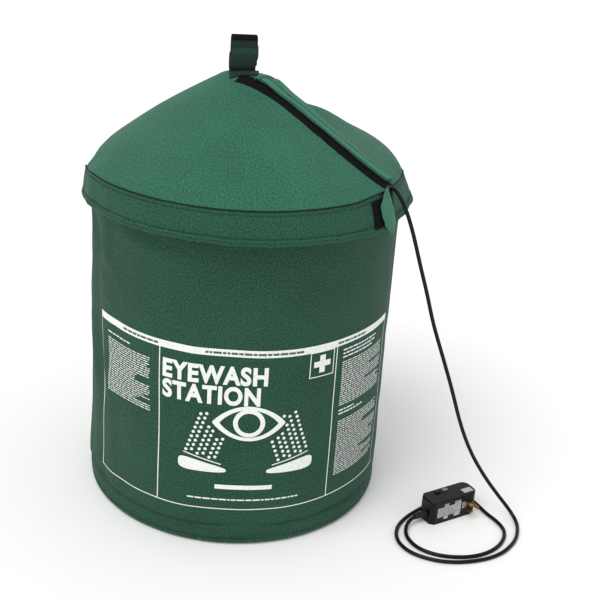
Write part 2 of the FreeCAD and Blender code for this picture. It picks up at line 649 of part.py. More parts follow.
def plug():
    half = plug_deep / 2
    wall, nose, tail = plug_wall, plug_nose, plug_tail
    case = block(0, plug_long, 0, plug_deep, 0, plug_high)
    upright = [edge for edge in case.Edges if edge.BoundBox.ZLength > plug_high - 1]
    case = case.makeFillet(nose, [edge for edge in upright if edge.BoundBox.XMin > plug_long - 1])
    upright = [edge for edge in case.Edges if edge.BoundBox.ZLength > plug_high - 1]
    case = case.makeChamfer(tail, [edge for edge in upright if edge.BoundBox.XMax < 1])
    top_edges = [edge for edge in case.Edges if edge.BoundBox.ZMin > plug_high - 0.1]
    case = case.makeFillet(plug_edge, top_edges)
    hollow = block(tail, plug_long - nose, wall, plug_deep - wall, wall, plug_high - wall)
    in_case, entry_r = Vec(tail, half, cord_entry_z), 5.0
    entry = rod(Vec(-1, half, cord_entry_z), in_case.add(Vec(1, 0, 0)), entry_r)
    hollowed = case.cut(hollow).cut(entry)

    # Blades and ground pin
    pin_u = plug_long - 26
    centre_z = plug_high / 2 + 3
    blade_root = wall + 4
    pins = []
    for side in (-1, 1):
        z = centre_z + side * blade_gap / 2
        pins.append(block(pin_u - blade_wide / 2, pin_u + blade_wide / 2, -blade_long, blade_root,
                          z - blade_thick / 2, z + blade_thick / 2))
    ground_u = pin_u + ground_drop
    pins.append(rod(Vec(ground_u, -ground_long, centre_z), Vec(ground_u, blade_root, centre_z), ground_r))

    # Two press buttons on the top, held in by a flange under the wall
    flange_over, flange_top = 1.4, plug_high - wall - 0.3
    button_low = flange_top - 2.2
    front_v, back_v = button_v - button_half_v, button_v + button_half_v
    buttons = {}
    for name, u in button_places:
        left_u, right_u = u - button_half_u, u + button_half_u
        stem = block(left_u, right_u, front_v, back_v, button_low, plug_high + button_out)
        flange = block(left_u - flange_over, right_u + flange_over, front_v - flange_over,
                       back_v + flange_over, button_low, flange_top)
        window = block(left_u - button_slack, right_u + button_slack, front_v - button_slack,
                       back_v + button_slack, plug_high - wall - 1, plug_high + 3)
        hollowed = hollowed.cut(window)
        buttons[name] = stem.fuse(flange).removeSplitter()

    # Screws from the back, into the front half
    head_in, head_r, shank_r = 1.6, 3.0, 1.5
    screws = []
    for u, z in ((14.0, 35.0), (14.0, 8.0), (plug_long - 16, 35.0)):
        screw = rod(Vec(u, plug_deep - head_in, z), Vec(u, plug_deep, z), head_r)
        shank = rod(Vec(u, plug_deep - wall, z), Vec(u, plug_deep - head_in, z), shank_r)
        screws.append(screw.fuse(shank))
    labels = [block(14, 62, -label_thick, 0, 8, plug_high - 8),
              block(72, 92, 6, 18, plug_high, plug_high + label_thick)]
    metal = Part.makeCompound(pins)
    front = hollowed.common(block(-1, plug_long + 1, -1, half, -1, plug_high + 1)).cut(metal)
    rear = hollowed.common(block(-1, plug_long + 1, half, plug_deep + 1, -1, plug_high + 1))
    rear = rear.cut(Part.makeCompound(screws))
    for name, shape in (("plug_front", front), ("plug_rear", rear), ("plug_pins", metal),
                        ("plug_screws", Part.makeCompound(screws)),
                        ("plug_labels", Part.makeCompound(labels)),
                        ("reset_button", buttons["reset_button"]), ("test_button", buttons["test_button"])):
        save(name, plug_place(shape))
    return strain_relief(in_case, entry_r)


def strain_relief(in_case, entry_r):
    """The moulded boot at the plug's tail, a grooved taper with the cord's end in it."""
    x, half, z = in_case
    flange = rod(in_case, in_case.add(Vec(3, 0, 0)), entry_r + 2)
    neck = rod(Vec(0, half, z), in_case, entry_r)
    boot = Part.makeCone(boot_tip_r, boot_r, relief_long, Vec(-relief_long, half, z), Vec(1, 0, 0))
    relief = boot.fuse([neck, flange]).removeSplitter()
    groove_wide, groove_deep, groove_pitch, grooves = 1.2, 1.0, 3.2, 5
    for step in range(grooves):
        at = -3.0 - groove_pitch * step
        here_r = boot_r - (boot_r - boot_tip_r) * -at / relief_long
        groove = rod(Vec(at, half, z), Vec(at + groove_wide, half, z), boot_r + 1)
        relief = relief.cut(groove.cut(rod(Vec(at, half, z), Vec(at + groove_wide, half, z),
                                           here_r - groove_deep)))
    return plug_place(relief)


def power_cord():
    points = [Vec(*point) for point in cord_route]
    tube, length, radii = swept(points, cord_r)
    print("cord length %.1f, volume %.0f, section x length %.0f, valid %s"
          % (length, tube.Volume, pi * cord_r ** 2 * length, tube.isValid()))
    print("bend radii " + " ".join("%.0f" % r for r in radii))
    save("power_cord", tube)
    return tube


os.makedirs("parts", exist_ok=True)
jacket()
cover()
strap()
tank()
waterway()
spray_heads()
catch_bowl()
fittings()
heating()
tube = power_cord()
save("strain_relief", plug().cut(tube))
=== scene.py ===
import random
from math import atan2, copysign, cos, degrees, exp, hypot, pi, radians, sin

import bmesh
import bpy
from mathutils import Matrix, Vector, noise
from mathutils.bvhtree import BVHTree


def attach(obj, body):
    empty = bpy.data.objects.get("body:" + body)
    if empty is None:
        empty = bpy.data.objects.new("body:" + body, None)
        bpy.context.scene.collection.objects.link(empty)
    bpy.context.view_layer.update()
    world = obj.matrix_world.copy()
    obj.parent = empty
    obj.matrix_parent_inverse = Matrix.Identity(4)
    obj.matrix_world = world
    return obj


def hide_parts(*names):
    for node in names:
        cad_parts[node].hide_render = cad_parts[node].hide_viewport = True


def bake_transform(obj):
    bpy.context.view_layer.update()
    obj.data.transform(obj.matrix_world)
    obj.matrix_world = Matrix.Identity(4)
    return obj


# Portable heated eyewash station: a pressure tank in a padded drum jacket, under a padded cone cover.
# Sizes in the dictionaries are millimetres, azimuths are degrees from the printed front towards +X.

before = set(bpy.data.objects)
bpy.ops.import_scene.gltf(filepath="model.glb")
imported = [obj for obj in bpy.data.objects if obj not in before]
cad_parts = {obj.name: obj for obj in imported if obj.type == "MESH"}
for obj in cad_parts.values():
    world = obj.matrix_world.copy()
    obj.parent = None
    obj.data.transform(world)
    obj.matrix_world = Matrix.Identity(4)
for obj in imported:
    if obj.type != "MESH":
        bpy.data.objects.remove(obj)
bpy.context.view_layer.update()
mm = 0.001



def at(azimuth, r, z):
    turn = radians(azimuth)
    return Vector((r * sin(turn), -r * cos(turn), z)) * mm


def polar(place):
    return degrees(atan2(place.x, -place.y)), hypot(place.x, place.y) / mm, place.z / mm


def ease(value, low, high):
    part = min(1.0, max(0.0, (value - low) / (high - low)))
    return part * part * (3 - 2 * part)


def hump(value, centre, wide):
    return exp(-((value - centre) / wide) ** 2)


def fromTable(table, azimuth):
    # eased between rows of (azimuth, values...), and round through the first row again
    rows = table + [(table[0][0] + 360, *table[0][1:])]
    azimuth = (azimuth - rows[0][0]) % 360 + rows[0][0]
    for low, high in zip(rows, rows[1:]):
        if azimuth <= high[0]:
            part = ease(azimuth, low[0], high[0])
            return [a + (b - a) * part for a, b in zip(low[1:], high[1:])]


def spinProfile(profile, steps):
    # a line of (r, z) turned once round the Z axis
    bm = bmesh.new()
    line = [bm.verts.new((0, -r * mm, z * mm)) for r, z in profile]
    edges = [bm.edges.new(pair) for pair in zip(line, line[1:])]
    bmesh.ops.spin(bm, geom=line + edges, axis=(0, 0, 1), cent=(0, 0, 0), angle=2 * pi,
                   steps=steps, use_merge=True)
    bmesh.ops.remove_doubles(bm, verts=bm.verts, dist=0.00002)
    bmesh.ops.recalc_face_normals(bm, faces=bm.faces)
    return bm


def facesOut(bm):
    # an open sheet has no inside to judge by, so its faces are turned away from the axis or upwards
    bm.normal_update()
    wrong = [face for face in bm.faces
             if face.normal.dot(face.calc_center_median() - Vector((0, 0, 0.3))) < 0]
    if len(wrong) > len(bm.faces) / 2:
        bmesh.ops.reverse_faces(bm, faces=bm.faces)


def shapeAll(bm, rule):
    for vert in bm.verts:
        azimuth, r, z = polar(vert.co)
        vert.co = rule(azimuth, r, z)


def mapCloth(bm, rule):
    # the cloth's own flat coordinates, in metres, from rule(azimuth, r, z) in millimetres
    layer = bm.loops.layers.uv.verify()
    for face in bm.faces:
        middle = polar(face.calc_center_median())[0]
        for loop in face.loops:
            azimuth, r, z = polar(loop.vert.co)
            if r < 0.01:
                azimuth = middle
            azimuth += 360 * round((middle - azimuth) / 360)
            u, v = rule(azimuth, r, z)
            loop[layer].uv = (u * mm, v * mm)


def cutGap(bm, azimuth, half, beyond):
    # opens a straight gap of 2 x half, across the sheet, from plan radius beyond outwards
    out = at(azimuth, 1000, 0)
    side = Vector((cos(radians(azimuth)), sin(radians(azimuth)), 0))
    for place, normal in ((side * half * mm, side), (-side * half * mm, side), (out * beyond * mm, out)):
        near = [face for face in bm.faces if face.calc_center_median().dot(out) > (beyond - 25) * mm]
        parts = set(near) | {v for f in near for v in f.verts} | {e for f in near for e in f.edges}
        bmesh.ops.bisect_plane(bm, geom=list(parts), plane_co=place, plane_no=normal, dist=0.00001)
    gone = [face for face in bm.faces
            if abs(face.calc_center_median().dot(side)) < half * mm
            and face.calc_center_median().dot(out) > beyond * mm]
    bmesh.ops.delete(bm, geom=gone, context="FACES")


def makePiece(name, bm, body, slot, *materials, smooth=True):
    mesh = bpy.data.meshes.new(name)
    bm.to_mesh(mesh)
    bm.free()
    for material in materials:
        mesh.materials.append(material)
    if smooth:
        mesh.shade_smooth()
    piece = bpy.data.objects.new(name, mesh)
    bpy.context.scene.collection.objects.link(piece)
    if body:      # a piece given no body is left unattached
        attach(piece, body)
    return piece


def addModifier(piece, kind, **settings):
    modifier = piece.modifiers.new(kind.lower(), kind)
    for key, value in settings.items():
        setattr(modifier, key, value)
    return modifier


def thicken(piece, thick, inside=0, edge=0):
    # the sheet is the outer face, and the thickness goes inwards
    addModifier(piece, "SOLIDIFY", thickness=thick * mm, offset=-1.0, use_even_offset=True,
                use_rim=True, material_offset=inside, material_offset_rim=edge)


def relaxCloth(piece, pinned, settings):
    # the padding pushes the cloth out, and spare cloth buckles between the seams
    scene = bpy.context.scene
    rest = [vert.co.copy() for vert in piece.data.vertices]
    group = piece.vertex_groups.new(name="seams")
    for index, place in enumerate(rest):
        hold = pinned(*polar(place))
        if hold > 0:
            group.add([index], hold, "REPLACE")
    cloth = piece.modifiers.new("cloth", "CLOTH")
    values = cloth.settings
    values.quality = 5
    values.mass = 0.3
    values.tension_stiffness = values.compression_stiffness = 15
    values.bending_stiffness = settings["stiffness"]
    values.shrink_min = -settings["spare"]
    values.use_pressure = True
    values.uniform_pressure_force = settings["pressure"]
    values.vertex_group_mass = "seams"
    values.effector_weights.gravity = 0
    cloth.collision_settings.use_collision = False
    cloth.point_cache.frame_start, cloth.point_cache.frame_end = 1, 20
    for moment in range(1, 21):
        scene.frame_set(moment)
    done = piece.evaluated_get(bpy.context.evaluated_depsgraph_get()).data
    moved = [vert.co - place for vert, place in zip(done.vertices, rest)]
    normals = [vert.normal.copy() for vert in piece.data.vertices]
    farthest = 0
    for vert, place, move, normal in zip(piece.data.vertices, rest, moved, normals):
        out = min(settings["farthest"] * mm, max(-settings["deepest"] * mm, move.dot(normal)))
        vert.co = place + normal * out
        farthest = max(farthest, abs(out))
    piece.modifiers.remove(cloth)
    piece.vertex_groups.remove(group)
    scene.frame_set(1)
    print("  cloth on", piece.name, "moved up to %.1f mm" % (farthest / mm))


def surfaceOf(piece):
    done = piece.evaluated_get(bpy.context.evaluated_depsgraph_get())
    tree = BVHTree.FromObject(done, bpy.context.evaluated_depsgraph_get())
    return tree


def patch(bm, u, v, wide, high, turn=0.0, cuts=1):
    # a flat rectangle in the XY plane, centred on (u, v)
    place = (Matrix.Translation((u, v, 0)) @ Matrix.Rotation(radians(turn), 4, "Z")
             @ Matrix.Diagonal((wide, high, 1, 1)))
    made = bmesh.ops.create_grid(bm, x_segments=cuts, y_segments=cuts, size=0.5, matrix=place)
    return made["verts"]



def linear(code):
    parts = [int(code[i:i + 2], 16) / 255 for i in (1, 3, 5)]
    parts = [p / 12.92 if p <= 0.04045 else ((p + 0.055) / 1.055) ** 2.4 for p in parts]
    return (*parts, 1.0)


def newMaterial(name, colour, roughness, metallic=0.0, **sockets):
    material = bpy.data.materials.new(name)
    material.use_nodes = True
    material.diffuse_color = linear(colour)
    shader = material.node_tree.nodes["Principled BSDF"]
    shader.inputs["Base Color"].default_value = linear(colour)
    shader.inputs["Roughness"].default_value = roughness
    shader.inputs["Metallic"].default_value = metallic
    for key, value in sockets.items():
        shader.inputs[key.replace("_", " ")].default_value = value
    return material


def addNode(material, kind, values=None, links=None, **settings):
    made = material.node_tree.nodes.new(kind)
    for key, value in settings.items():
        setattr(made, key, value)
    for key, value in (values or {}).items():
        made.inputs[key].default_value = value
    for key, source in (links or {}).items():
        material.node_tree.links.new(source, made.inputs[key])
    return made


def feed(material, socket, source):
    shader = material.node_tree.nodes["Principled BSDF"]
    material.node_tree.links.new(source, shader.inputs[socket])


def mixColours(material, factor, low, high):
    made = addNode(material, "ShaderNodeMix", {0: 0.5, 6: linear(low), 7: linear(high)}, {0: factor},
                   data_type="RGBA")
    return made.outputs[2]


def spread(material, source, low, high):
    # stretches a noise's middle range over 0 to 1
    made = addNode(material, "ShaderNodeMapRange", {1: low, 2: high}, {0: source})
    return made.outputs[0]


def wovenCloth(name, dark, light, roughness, thread, relief, sheen, ribs=False):
    # plain weave: over and under threads as the product of two waves; the thread spacing is in mm
    material = newMaterial(name, light, roughness, Sheen_Weight=sheen, Sheen_Roughness=0.5,
                           Specular_IOR_Level=0.18)
    coords = addNode(material, "ShaderNodeTexCoord")
    flat = coords.outputs["UV"]
    scale = 0.31416 / (thread * mm)      # a wave's bands are 0.31416 apart at scale 1
    across = addNode(material, "ShaderNodeTexWave", {"Scale": scale, "Distortion": 0.0}, {"Vector": flat},
                     bands_direction="X")
    along = addNode(material, "ShaderNodeTexWave", {"Scale": scale * (0.45 if ribs else 1.0)},
                    {"Vector": flat}, bands_direction="Y")
    a = addNode(material, "ShaderNodeMath", {1: 0.5}, {0: across.outputs["Fac"]}, operation="SUBTRACT")
    b = addNode(material, "ShaderNodeMath", {1: 0.5}, {0: along.outputs["Fac"]}, operation="SUBTRACT")
    weave = addNode(material, "ShaderNodeMath", {}, {0: a.outputs[0], 1: b.outputs[0]}, operation="MULTIPLY")
    # uneven yarn, a few threads across
    yarn = addNode(material, "ShaderNodeTexNoise", {"Scale": 1 / (thread * 1.3 * mm), "Detail": 3.0},
                   {"Vector": flat})
    # slow change of shade over a hand's width, from handling and dye
    shade = addNode(material, "ShaderNodeTexNoise", {"Scale": 1 / (95 * mm), "Detail": 2.0},
                    {"Vector": coords.outputs["Object"]})
    both = addNode(material, "ShaderNodeMath", {1: 0.86, 2: 0.0}, {0: yarn.outputs["Fac"]},
                   operation="MULTIPLY_ADD")
    slow = addNode(material, "ShaderNodeMath", {1: 0.14}, {0: shade.outputs["Fac"], 2: both.outputs[0]},
                   operation="MULTIPLY_ADD")
    tone = spread(material, slow.outputs[0], 0.36, 0.64)
    feed(material, "Base Color", mixColours(material, tone, dark, light))
    height = addNode(material, "ShaderNodeMath", {1: 2.6}, {0: weave.outputs[0], 2: yarn.outputs["Fac"]},
                     operation="MULTIPLY_ADD")
    bump = addNode(material, "ShaderNodeBump", {"Strength": 1.0, "Distance": relief * mm},
                   {"Height": height.outputs[0]})
    feed(material, "Normal", bump.outputs[0])
    return material


def grained(name, dark, light, roughness, grain, relief, metallic=0.0, stretch=(1, 1, 1), **sockets):
    # moulded, cast or brushed: one noise, stretched along the tool marks; grain is in mm
    material = newMaterial(name, light, roughness, metallic, **sockets)
    coords = addNode(material, "ShaderNodeTexCoord")
    marks = addNode(material, "ShaderNodeMapping", {"Scale": stretch}, {"Vector": coords.outputs["Object"]})
    pattern = addNode(material, "ShaderNodeTexNoise", {"Scale": 1 / (grain * mm), "Detail": 4.0},
                      {"Vector": marks.outputs[0]})
    tone = spread(material, pattern.outputs["Fac"], 0.35, 0.65)
    feed(material, "Base Color", mixColours(material, tone, dark, light))
    rough = addNode(material, "ShaderNodeMapRange", {3: roughness * 0.85, 4: min(1.0, roughness * 1.2)},
                    {0: pattern.outputs["Fac"]})
    feed(material, "Roughness", rough.outputs[0])
    bump = addNode(material, "ShaderNodeBump", {"Strength": 0.6, "Distance": relief * mm},
                   {"Height": pattern.outputs["Fac"]})
    feed(material, "Normal", bump.outputs[0])
    return material


print("materials")
# coated 600 denier polyester: dull, finely woven, a little sheen at the edges; the threads are about
# 0.5 mm apart and are drawn 2.2 mm apart, as fine as shows
# the cover is the same cloth as the jacket and the band, but its colours are drawn lighter: painted light for
# the cone facing up, on top of the light that really reaches it, while the jacket and band keep the darker,
# shaded copy
coverClothPaintedLight = wovenCloth("coatedPolyesterCoverPaintedLight", "#20523f", "#397a61", 0.62, 2.2, 0.4, 0.03)
jacketCloth = wovenCloth("coatedPolyesterJacket", "#173a2c", "#2e5c49", 0.66, 2.2, 0.4, 0.02)
bandCloth = wovenCloth("coatedPolyesterBand", "#1a4232", "#2f624d", 0.66, 2.2, 0.4, 0.02)
flapCloth = wovenCloth("coatedPolyesterFlap", "#356e58", "#448069", 0.6, 2.2, 0.3, 0.03)
# coated nylon lining: smooth, silvery, faint crinkle
liningCloth = wovenCloth("coatedNylonLining", "#a7abab", "#bcc0bf", 0.45, 2.4, 0.25, 0.0)
# grosgrain binding tape: ribbed across
bindingTape = wovenCloth("grosgrainBinding", "#131b18", "#1b2521", 0.75, 1.8, 0.3, 0.03, ribs=True)
# nylon webbing: thick ribs, slightly glossy yarn
webbing = wovenCloth("nylonWebbing", "#152723", "#20352f", 0.6, 2.6, 0.6, 0.05, ribs=True)
keeperWebbing = wovenCloth("nylonKeeper", "#153527", "#1e4634", 0.6, 2.6, 0.5, 0.05, ribs=True)
# bonded polyester sewing thread
thread = newMaterial("bondedThread", "#1a382d", 0.5, Specular_IOR_Level=0.3)
pipingCloth = newMaterial("cordPiping", "#0d1f19", 0.7, Specular_IOR_Level=0.2)

# hook and loop tape: a dense dark pile with no gloss; loops are about 1 mm, drawn 1.6 mm
loopTape = newMaterial("hookAndLoopTape", "#0e0c10", 0.95, Specular_IOR_Level=0.1)
coords = addNode(loopTape, "ShaderNodeTexCoord")
pile = addNode(loopTape, "ShaderNodeTexVoronoi", {"Scale": 1 / (1.6 * mm)},
               {"Vector": coords.outputs["Object"]})
feed(loopTape, "Base Color", mixColours(loopTape, pile.outputs["Distance"], "#1a171b", "#070608"))
lump = addNode(loopTape, "ShaderNodeBump", {"Strength": 0.9, "Distance": 0.6 * mm},
               {"Height": pile.outputs["Distance"]})
feed(loopTape, "Normal", lump.outputs[0])

# plastisol screen ink: thick, opaque, satin, with the weave just showing through
screenInk = newMaterial("plastisolInk", "#eef1ee", 0.5)
coords = addNode(screenInk, "ShaderNodeTexCoord")
speck = addNode(screenInk, "ShaderNodeTexNoise", {"Scale": 1 / (2.0 * mm), "Detail": 2.0},
                {"Vector": coords.outputs["Object"]})
feed(screenInk, "Base Color", mixColours(screenInk, spread(screenInk, speck.outputs["Fac"], 0.3, 0.6),
                                         "#d5dcd7", "#f4f6f4"))
inkLump = addNode(screenInk, "ShaderNodeBump", {"Strength": 0.5, "Distance": 0.15 * mm},
                  {"Height": speck.outputs["Fac"]})
feed(screenInk, "Normal", inkLump.outputs[0])
darkInk = newMaterial("darkLabelInk", "#4a544f", 0.5)

# 304 stainless sheet, brushed round the drum: long fine marks, clear soft reflections
brushedStainless = grained("brushedStainless", "#9fa3a3", "#c3c6c5", 0.33, 1.6, 0.03, 1.0, (1, 1, 14))
spunStainless = grained("spunStainless", "#b4b7b6", "#d2d4d3", 0.22, 1.4, 0.02, 1.0, (1, 1, 9))
# cast and turned brass, a little dulled
turnedBrass = grained("turnedBrass", "#a8843f", "#c9a557", 0.28, 1.2, 0.03, 1.0)
chromePlate = grained("chromePlate", "#c6c9cb", "#dfe1e2", 0.1, 3.0, 0.01, 1.0)
# moulded ABS spray heads, safety yellow, satin
yellowAbs = grained("mouldedYellowAbs", "#d9b322", "#e3c02c", 0.38, 0.9, 0.03)
# powder coat on the push flag, fine orange peel
powderCoat = grained("yellowPowderCoat", "#d8b01f", "#e2bc2b", 0.42, 1.3, 0.06)
# extruded rubber, matt
blackRubber = grained("blackRubber", "#151515", "#1f1f1f", 0.75, 0.8, 0.05)
# moulded polycarbonate of the plug: fine spark-eroded grain, satin black
blackCase = grained("mouldedPolycarbonate", "#070708", "#0b0b0c", 0.38, 0.9, 0.06, Specular_IOR_Level=0.22)
greyNylon = grained("mouldedGreyNylon", "#6d7173", "#7c8082", 0.45, 0.9, 0.04)
# PVC cord jacket: black, glossy, faintly wavy from coiling
cordPvc = grained("glossyPvc", "#050506", "#080809", 0.3, 6.0, 0.08, Specular_IOR_Level=0.22)
# silicone rubber heating mat, brick red with a fine cloth print
siliconeMat = grained("siliconeRubber", "#9c3a25", "#b0472f", 0.6, 1.2, 0.08)
clearLens = newMaterial("clearPolycarbonate", "#f4f7f7", 0.05, Transmission_Weight=1.0, IOR=1.585)
needlePaint = newMaterial("needlePaint", "#b3201a", 0.4)
labelFilm = grained("greyLabelFilm", "#a9adad", "#bcc0bf", 0.45, 2.5, 0.02)


print("camera, light and floor")
cameraView = {"place": (-0.1588, -1.8692, 1.1661), "aim": (0.979, 6.2334, -2.4604), "roll": 3.965,
              "lens": 71.29}


def setCamera(view):
    data = bpy.data.cameras.new("camera")
    data.lens, data.sensor_width = view["lens"], 36
    data.clip_start, data.clip_end = 0.05, 60
    camera = bpy.data.objects.new("camera", data)
    bpy.context.scene.collection.objects.link(camera)
    back = (Vector(view["place"]) - Vector(view["aim"])).normalized()
    level = Vector((0, 0, 1)).cross(back).normalized()
    upright = back.cross(level)
    roll = radians(view["roll"])
    right = level * cos(roll) + upright * sin(roll)
    top = upright * cos(roll) - level * sin(roll)
    turn = Matrix((right, top, back)).transposed().to_4x4()
    camera.matrix_world = Matrix.Translation(view["place"]) @ turn
    bpy.context.scene.camera = camera


setCamera(cameraView)

studio = {"sky": 0.78, "sun": 1.35, "sunFrom": (-0.5, -0.45, 1.0), "softness": 40, "floor": "#fbfbfa"}


def setStudio(values):
    scene = bpy.context.scene
    scene.view_settings.view_transform = "Standard"
    world = bpy.data.worlds.new("studio")
    world.use_nodes = True
    world.node_tree.nodes["Background"].inputs["Color"].default_value = (1, 1, 1, 1)
    world.node_tree.nodes["Background"].inputs["Strength"].default_value = values["sky"]
    scene.world = world
    data = bpy.data.lights.new("softKey", "SUN")
    data.energy, data.angle = values["sun"], radians(values["softness"])
    key = bpy.data.objects.new("softKey", data)
    key.rotation_euler = Vector(values["sunFrom"]).to_track_quat("Z", "Y").to_euler()
    scene.collection.objects.link(key)
    bm = bmesh.new()
    bmesh.ops.create_grid(bm, x_segments=8, y_segments=8, size=60.0)
    mesh = bpy.data.meshes.new("studioFloor")
    bm.to_mesh(mesh)
    bm.free()
    mesh.materials.append(newMaterial("matteWhiteFloor", values["floor"], 0.9, Specular_IOR_Level=0.2))
    ground = bpy.data.objects.new("studioFloor", mesh)
    scene.collection.objects.link(ground)


setStudio(studio)


print("power cord")
cordLay = {"radius": 3.25, "length": 1.6278, "points": [
    (183.1, -153.6, 586), (193.5, -162.2, 592), (203.5, -168.6, 597), (212, -173.4, 595.5),
    (221.5, -176.6, 585), (231.5, -178.6, 567), (242, -179.2, 542), (253, -178.6, 510.5),
    (266.5, -176.6, 468),
    (282.5, -172.5, 422), (299, -171, 367), (322, -170.5, 307), (345, -172, 245), (365, -172.5, 184),
    (390, -173, 127), (421, -173.5, 78), (447, -174.5, 44), (464, -177, 23.5), (473.5, -184, 12.5),
    (479, -195, 5.5), (479.5, -209, 3.4), (475.5, -227, 3.3), (467, -249, 3.3), (452.5, -270, 3.3),
    (431, -291, 3.3), (402, -306, 3.3), (366, -313.5, 3.3), (330, -313, 3.3), (297, -301, 3.3),
    (272, -281, 3.3), (259.5, -251, 3.3), (265, -216, 3.3), (286, -186, 3.3), (314, -162, 3.3),
    (340, -143, 3.3), (365, -127.5, 3.3), (387, -119.5, 3.3), (405, -122, 3.3), (418, -134, 3.3),
    (426, -153, 3.3), (434, -177, 3.3), (446, -199, 3.3), (453, -225, 3.3), (444, -254, 3.3),
    (421, -281, 3.3), (388, -298, 3.3), (351, -301, 3.3), (317, -293, 3.3), (291, -274, 3.3),
    (278.5, -246, 3.3), (279.5, -223, 5), (286, -209, 9), (297.2, -200, 14), (309.1, -194.5, 14)]}


def layCord(lay):
    curve = bpy.data.curves.new("supplyCord", "CURVE")
    curve.dimensions = "3D"
    curve.bevel_depth = lay["radius"] * mm
    curve.bevel_resolution = 4
    curve.resolution_u = curve.render_resolution_u = 8
    curve.use_fill_caps = True
    line = curve.splines.new("NURBS")
    line.points.add(len(lay["points"]) - 1)
    for point, place in zip(line.points, lay["points"]):
        point.co = (*(Vector(place) * mm), 1)
    line.order_u = 3
    line.use_endpoint_u = True
    curve.materials.append(cordPvc)
    piece = bpy.data.objects.new("supplyCord", curve)
    bpy.context.scene.collection.objects.link(piece)
    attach(piece, "station")
    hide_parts("power_cord")
    return piece


supplyCord = layCord(cordLay)


print("jacket")
jacket = {"radius": 254, "top": 557, "thick": 12.2, "steps": 240,
          "cloth": {"spare": 0.010, "pressure": 3.0, "stiffness": 0.8, "farthest": 2.6, "deepest": 2.2},
          # creases: from (azimuth, z) to (azimuth, z), width and depth; they stand in when depth is below 0
          "creases": [(-50, 508, -22, 486, 7, 3.2), (-42, 522, -14, 503, 6, -2.8),
                       (-66, 470, -52, 420, 14, 2.6), (-58, 500, -60, 440, 12, -2.2),
                       (-30, 486, -12, 470, 10, -1.6), (22, 520, 44, 500, 12, -1.2),
                       (-80, 345, -68, 180, 12, 3.2), (-71, 330, -60, 150, 9, -2.6),
                       (62, 480, 66, 330, 14, 1.2), (-78, 520, -64, 430, 12, -3.0),
                       (-62, 250, -58, 120, 8, 1.4), (-25, 490, -8, 478, 6, -1.8),
                       (-20, 360, -24, 150, 9, 0.9), (-10, 17, 14, 17, 2.4, -2.2),
                       (-72, 22, -40, 13, 3, -2.4), (-30, 30, -8, 22, 3, -1.6),
                       (30, 40, 60, 30, 3, -1.4)]}


def creaseDepth(azimuth, z, creases, radius):
    total = 0.0
    for az0, z0, az1, z1, wide, depth in creases:
        u, v = radians(azimuth - az0) * radius, z - z0
        du, dv = radians(az1 - az0) * radius, z1 - z0
        part = min(1.0, max(0.0, (u * du + v * dv) / (du * du + dv * dv)))
        away = hypot(u - du * part, v - dv * part)
        total += depth * exp(-(away / wide) ** 2) * (0.35 + 0.65 * sin(pi * (0.08 + 0.84 * part)))
    return total


def jacketShape(azimuth, r, z):
    if r < 200:
        return at(azimuth, r, z)
    where = at(azimuth, 250, z)
    flat = -2.4 * hump(azimuth, -8, 11) + 1.5 * hump(azimuth, -26, 5) - 1.6 * hump(azimuth, 40, 14)
    flat += 1.2 * hump(azimuth, 14, 6) - 1.8 * hump(azimuth, -52, 12) - 2 * hump(azimuth, 120, 20)
    flat += 1.2 * hump(azimuth, 150, 12) - 2 * hump(azimuth, -140, 18) + 1.2 * hump(azimuth, -112, 10)
    held = ease(z, 4, 60) * (1 - ease(z, 505, 556))
    soft = 1.4 * noise.noise(where * 7) + 1.1 * noise.noise(where * 16 + Vector((3, 1, 0)))
    waves = 2.0 * hump(azimuth, -76, 22) * sin(radians(azimuth) * 24 + 0.006 * z)
    waves -= 5.5 * hump(azimuth, -92, 26) * (1 - ease(z, 480, 560)) * ease(z, 30, 160)
    stitched = -1.3 * hump(z, 36, 2.6) * (1 - hump(azimuth, 1, 7))
    tucked = (1.4 * hump(z, 19, 11) - 0.8 * (1 - ease(z, 0, 9))
              + 0.8 * noise.noise(where * 22) * hump(z, 14, 12))
    return at(azimuth, r + (flat + soft + waves) * held + stitched + tucked, z)


def makeJacket(values):
    radius = values["radius"]
    profile = [(0, 0.6), (40, 0.6), (90, 0.6), (140, 0.6), (185, 0.6), (215, 0.6), (236, 0.7), (246, 0.9),
               (250.2, 1.8), (252.8, 3.8), (254, 7), (254.3, 11)]
    profile += [(radius, z) for z in (15, 18, 21, 24, 27, 30, 32, 34, 36, 38, 40, 43, 47, 52, 58, 65)]
    profile += [(radius, 72 + 7.35 * step) for step in range(int((values["top"] - 72) / 7.35))]
    profile += [(radius, values["top"])]
    bm = spinProfile(profile, values["steps"])
    facesOut(bm)
    mapCloth(bm, lambda azimuth, r, z: (radians(azimuth) * 254, z + r - 254) if z > 12
             else (r * sin(radians(azimuth)), r * cos(radians(azimuth))))
    shapeAll(bm, jacketShape)
    piece = makePiece("drumJacket", bm, "station", "green_fabric", jacketCloth, liningCloth, bindingTape)
    relaxCloth(piece, lambda azimuth, r, z: 1.0 if z > 545 or z < 42 or r < 245 else 0.0, values["cloth"])
    for vert in piece.data.vertices:
        azimuth, r, z = polar(vert.co)
        if r > 240 and z > 3:
            r += creaseDepth(azimuth, z, values["creases"], radius) * (1 - ease(z, 520, 550))
            vert.co = at(azimuth, r, z)
    thicken(piece, values["thick"], inside=1, edge=1)
    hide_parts("jacket_base", "jacket_shell", "wall_insulation", "wall_lining")
    return piece


drumJacket = makeJacket(jacket)

wallEdge = {"outside": 255.2, "inside": 240.2, "low": 549, "top": 561.6, "steps": 240}


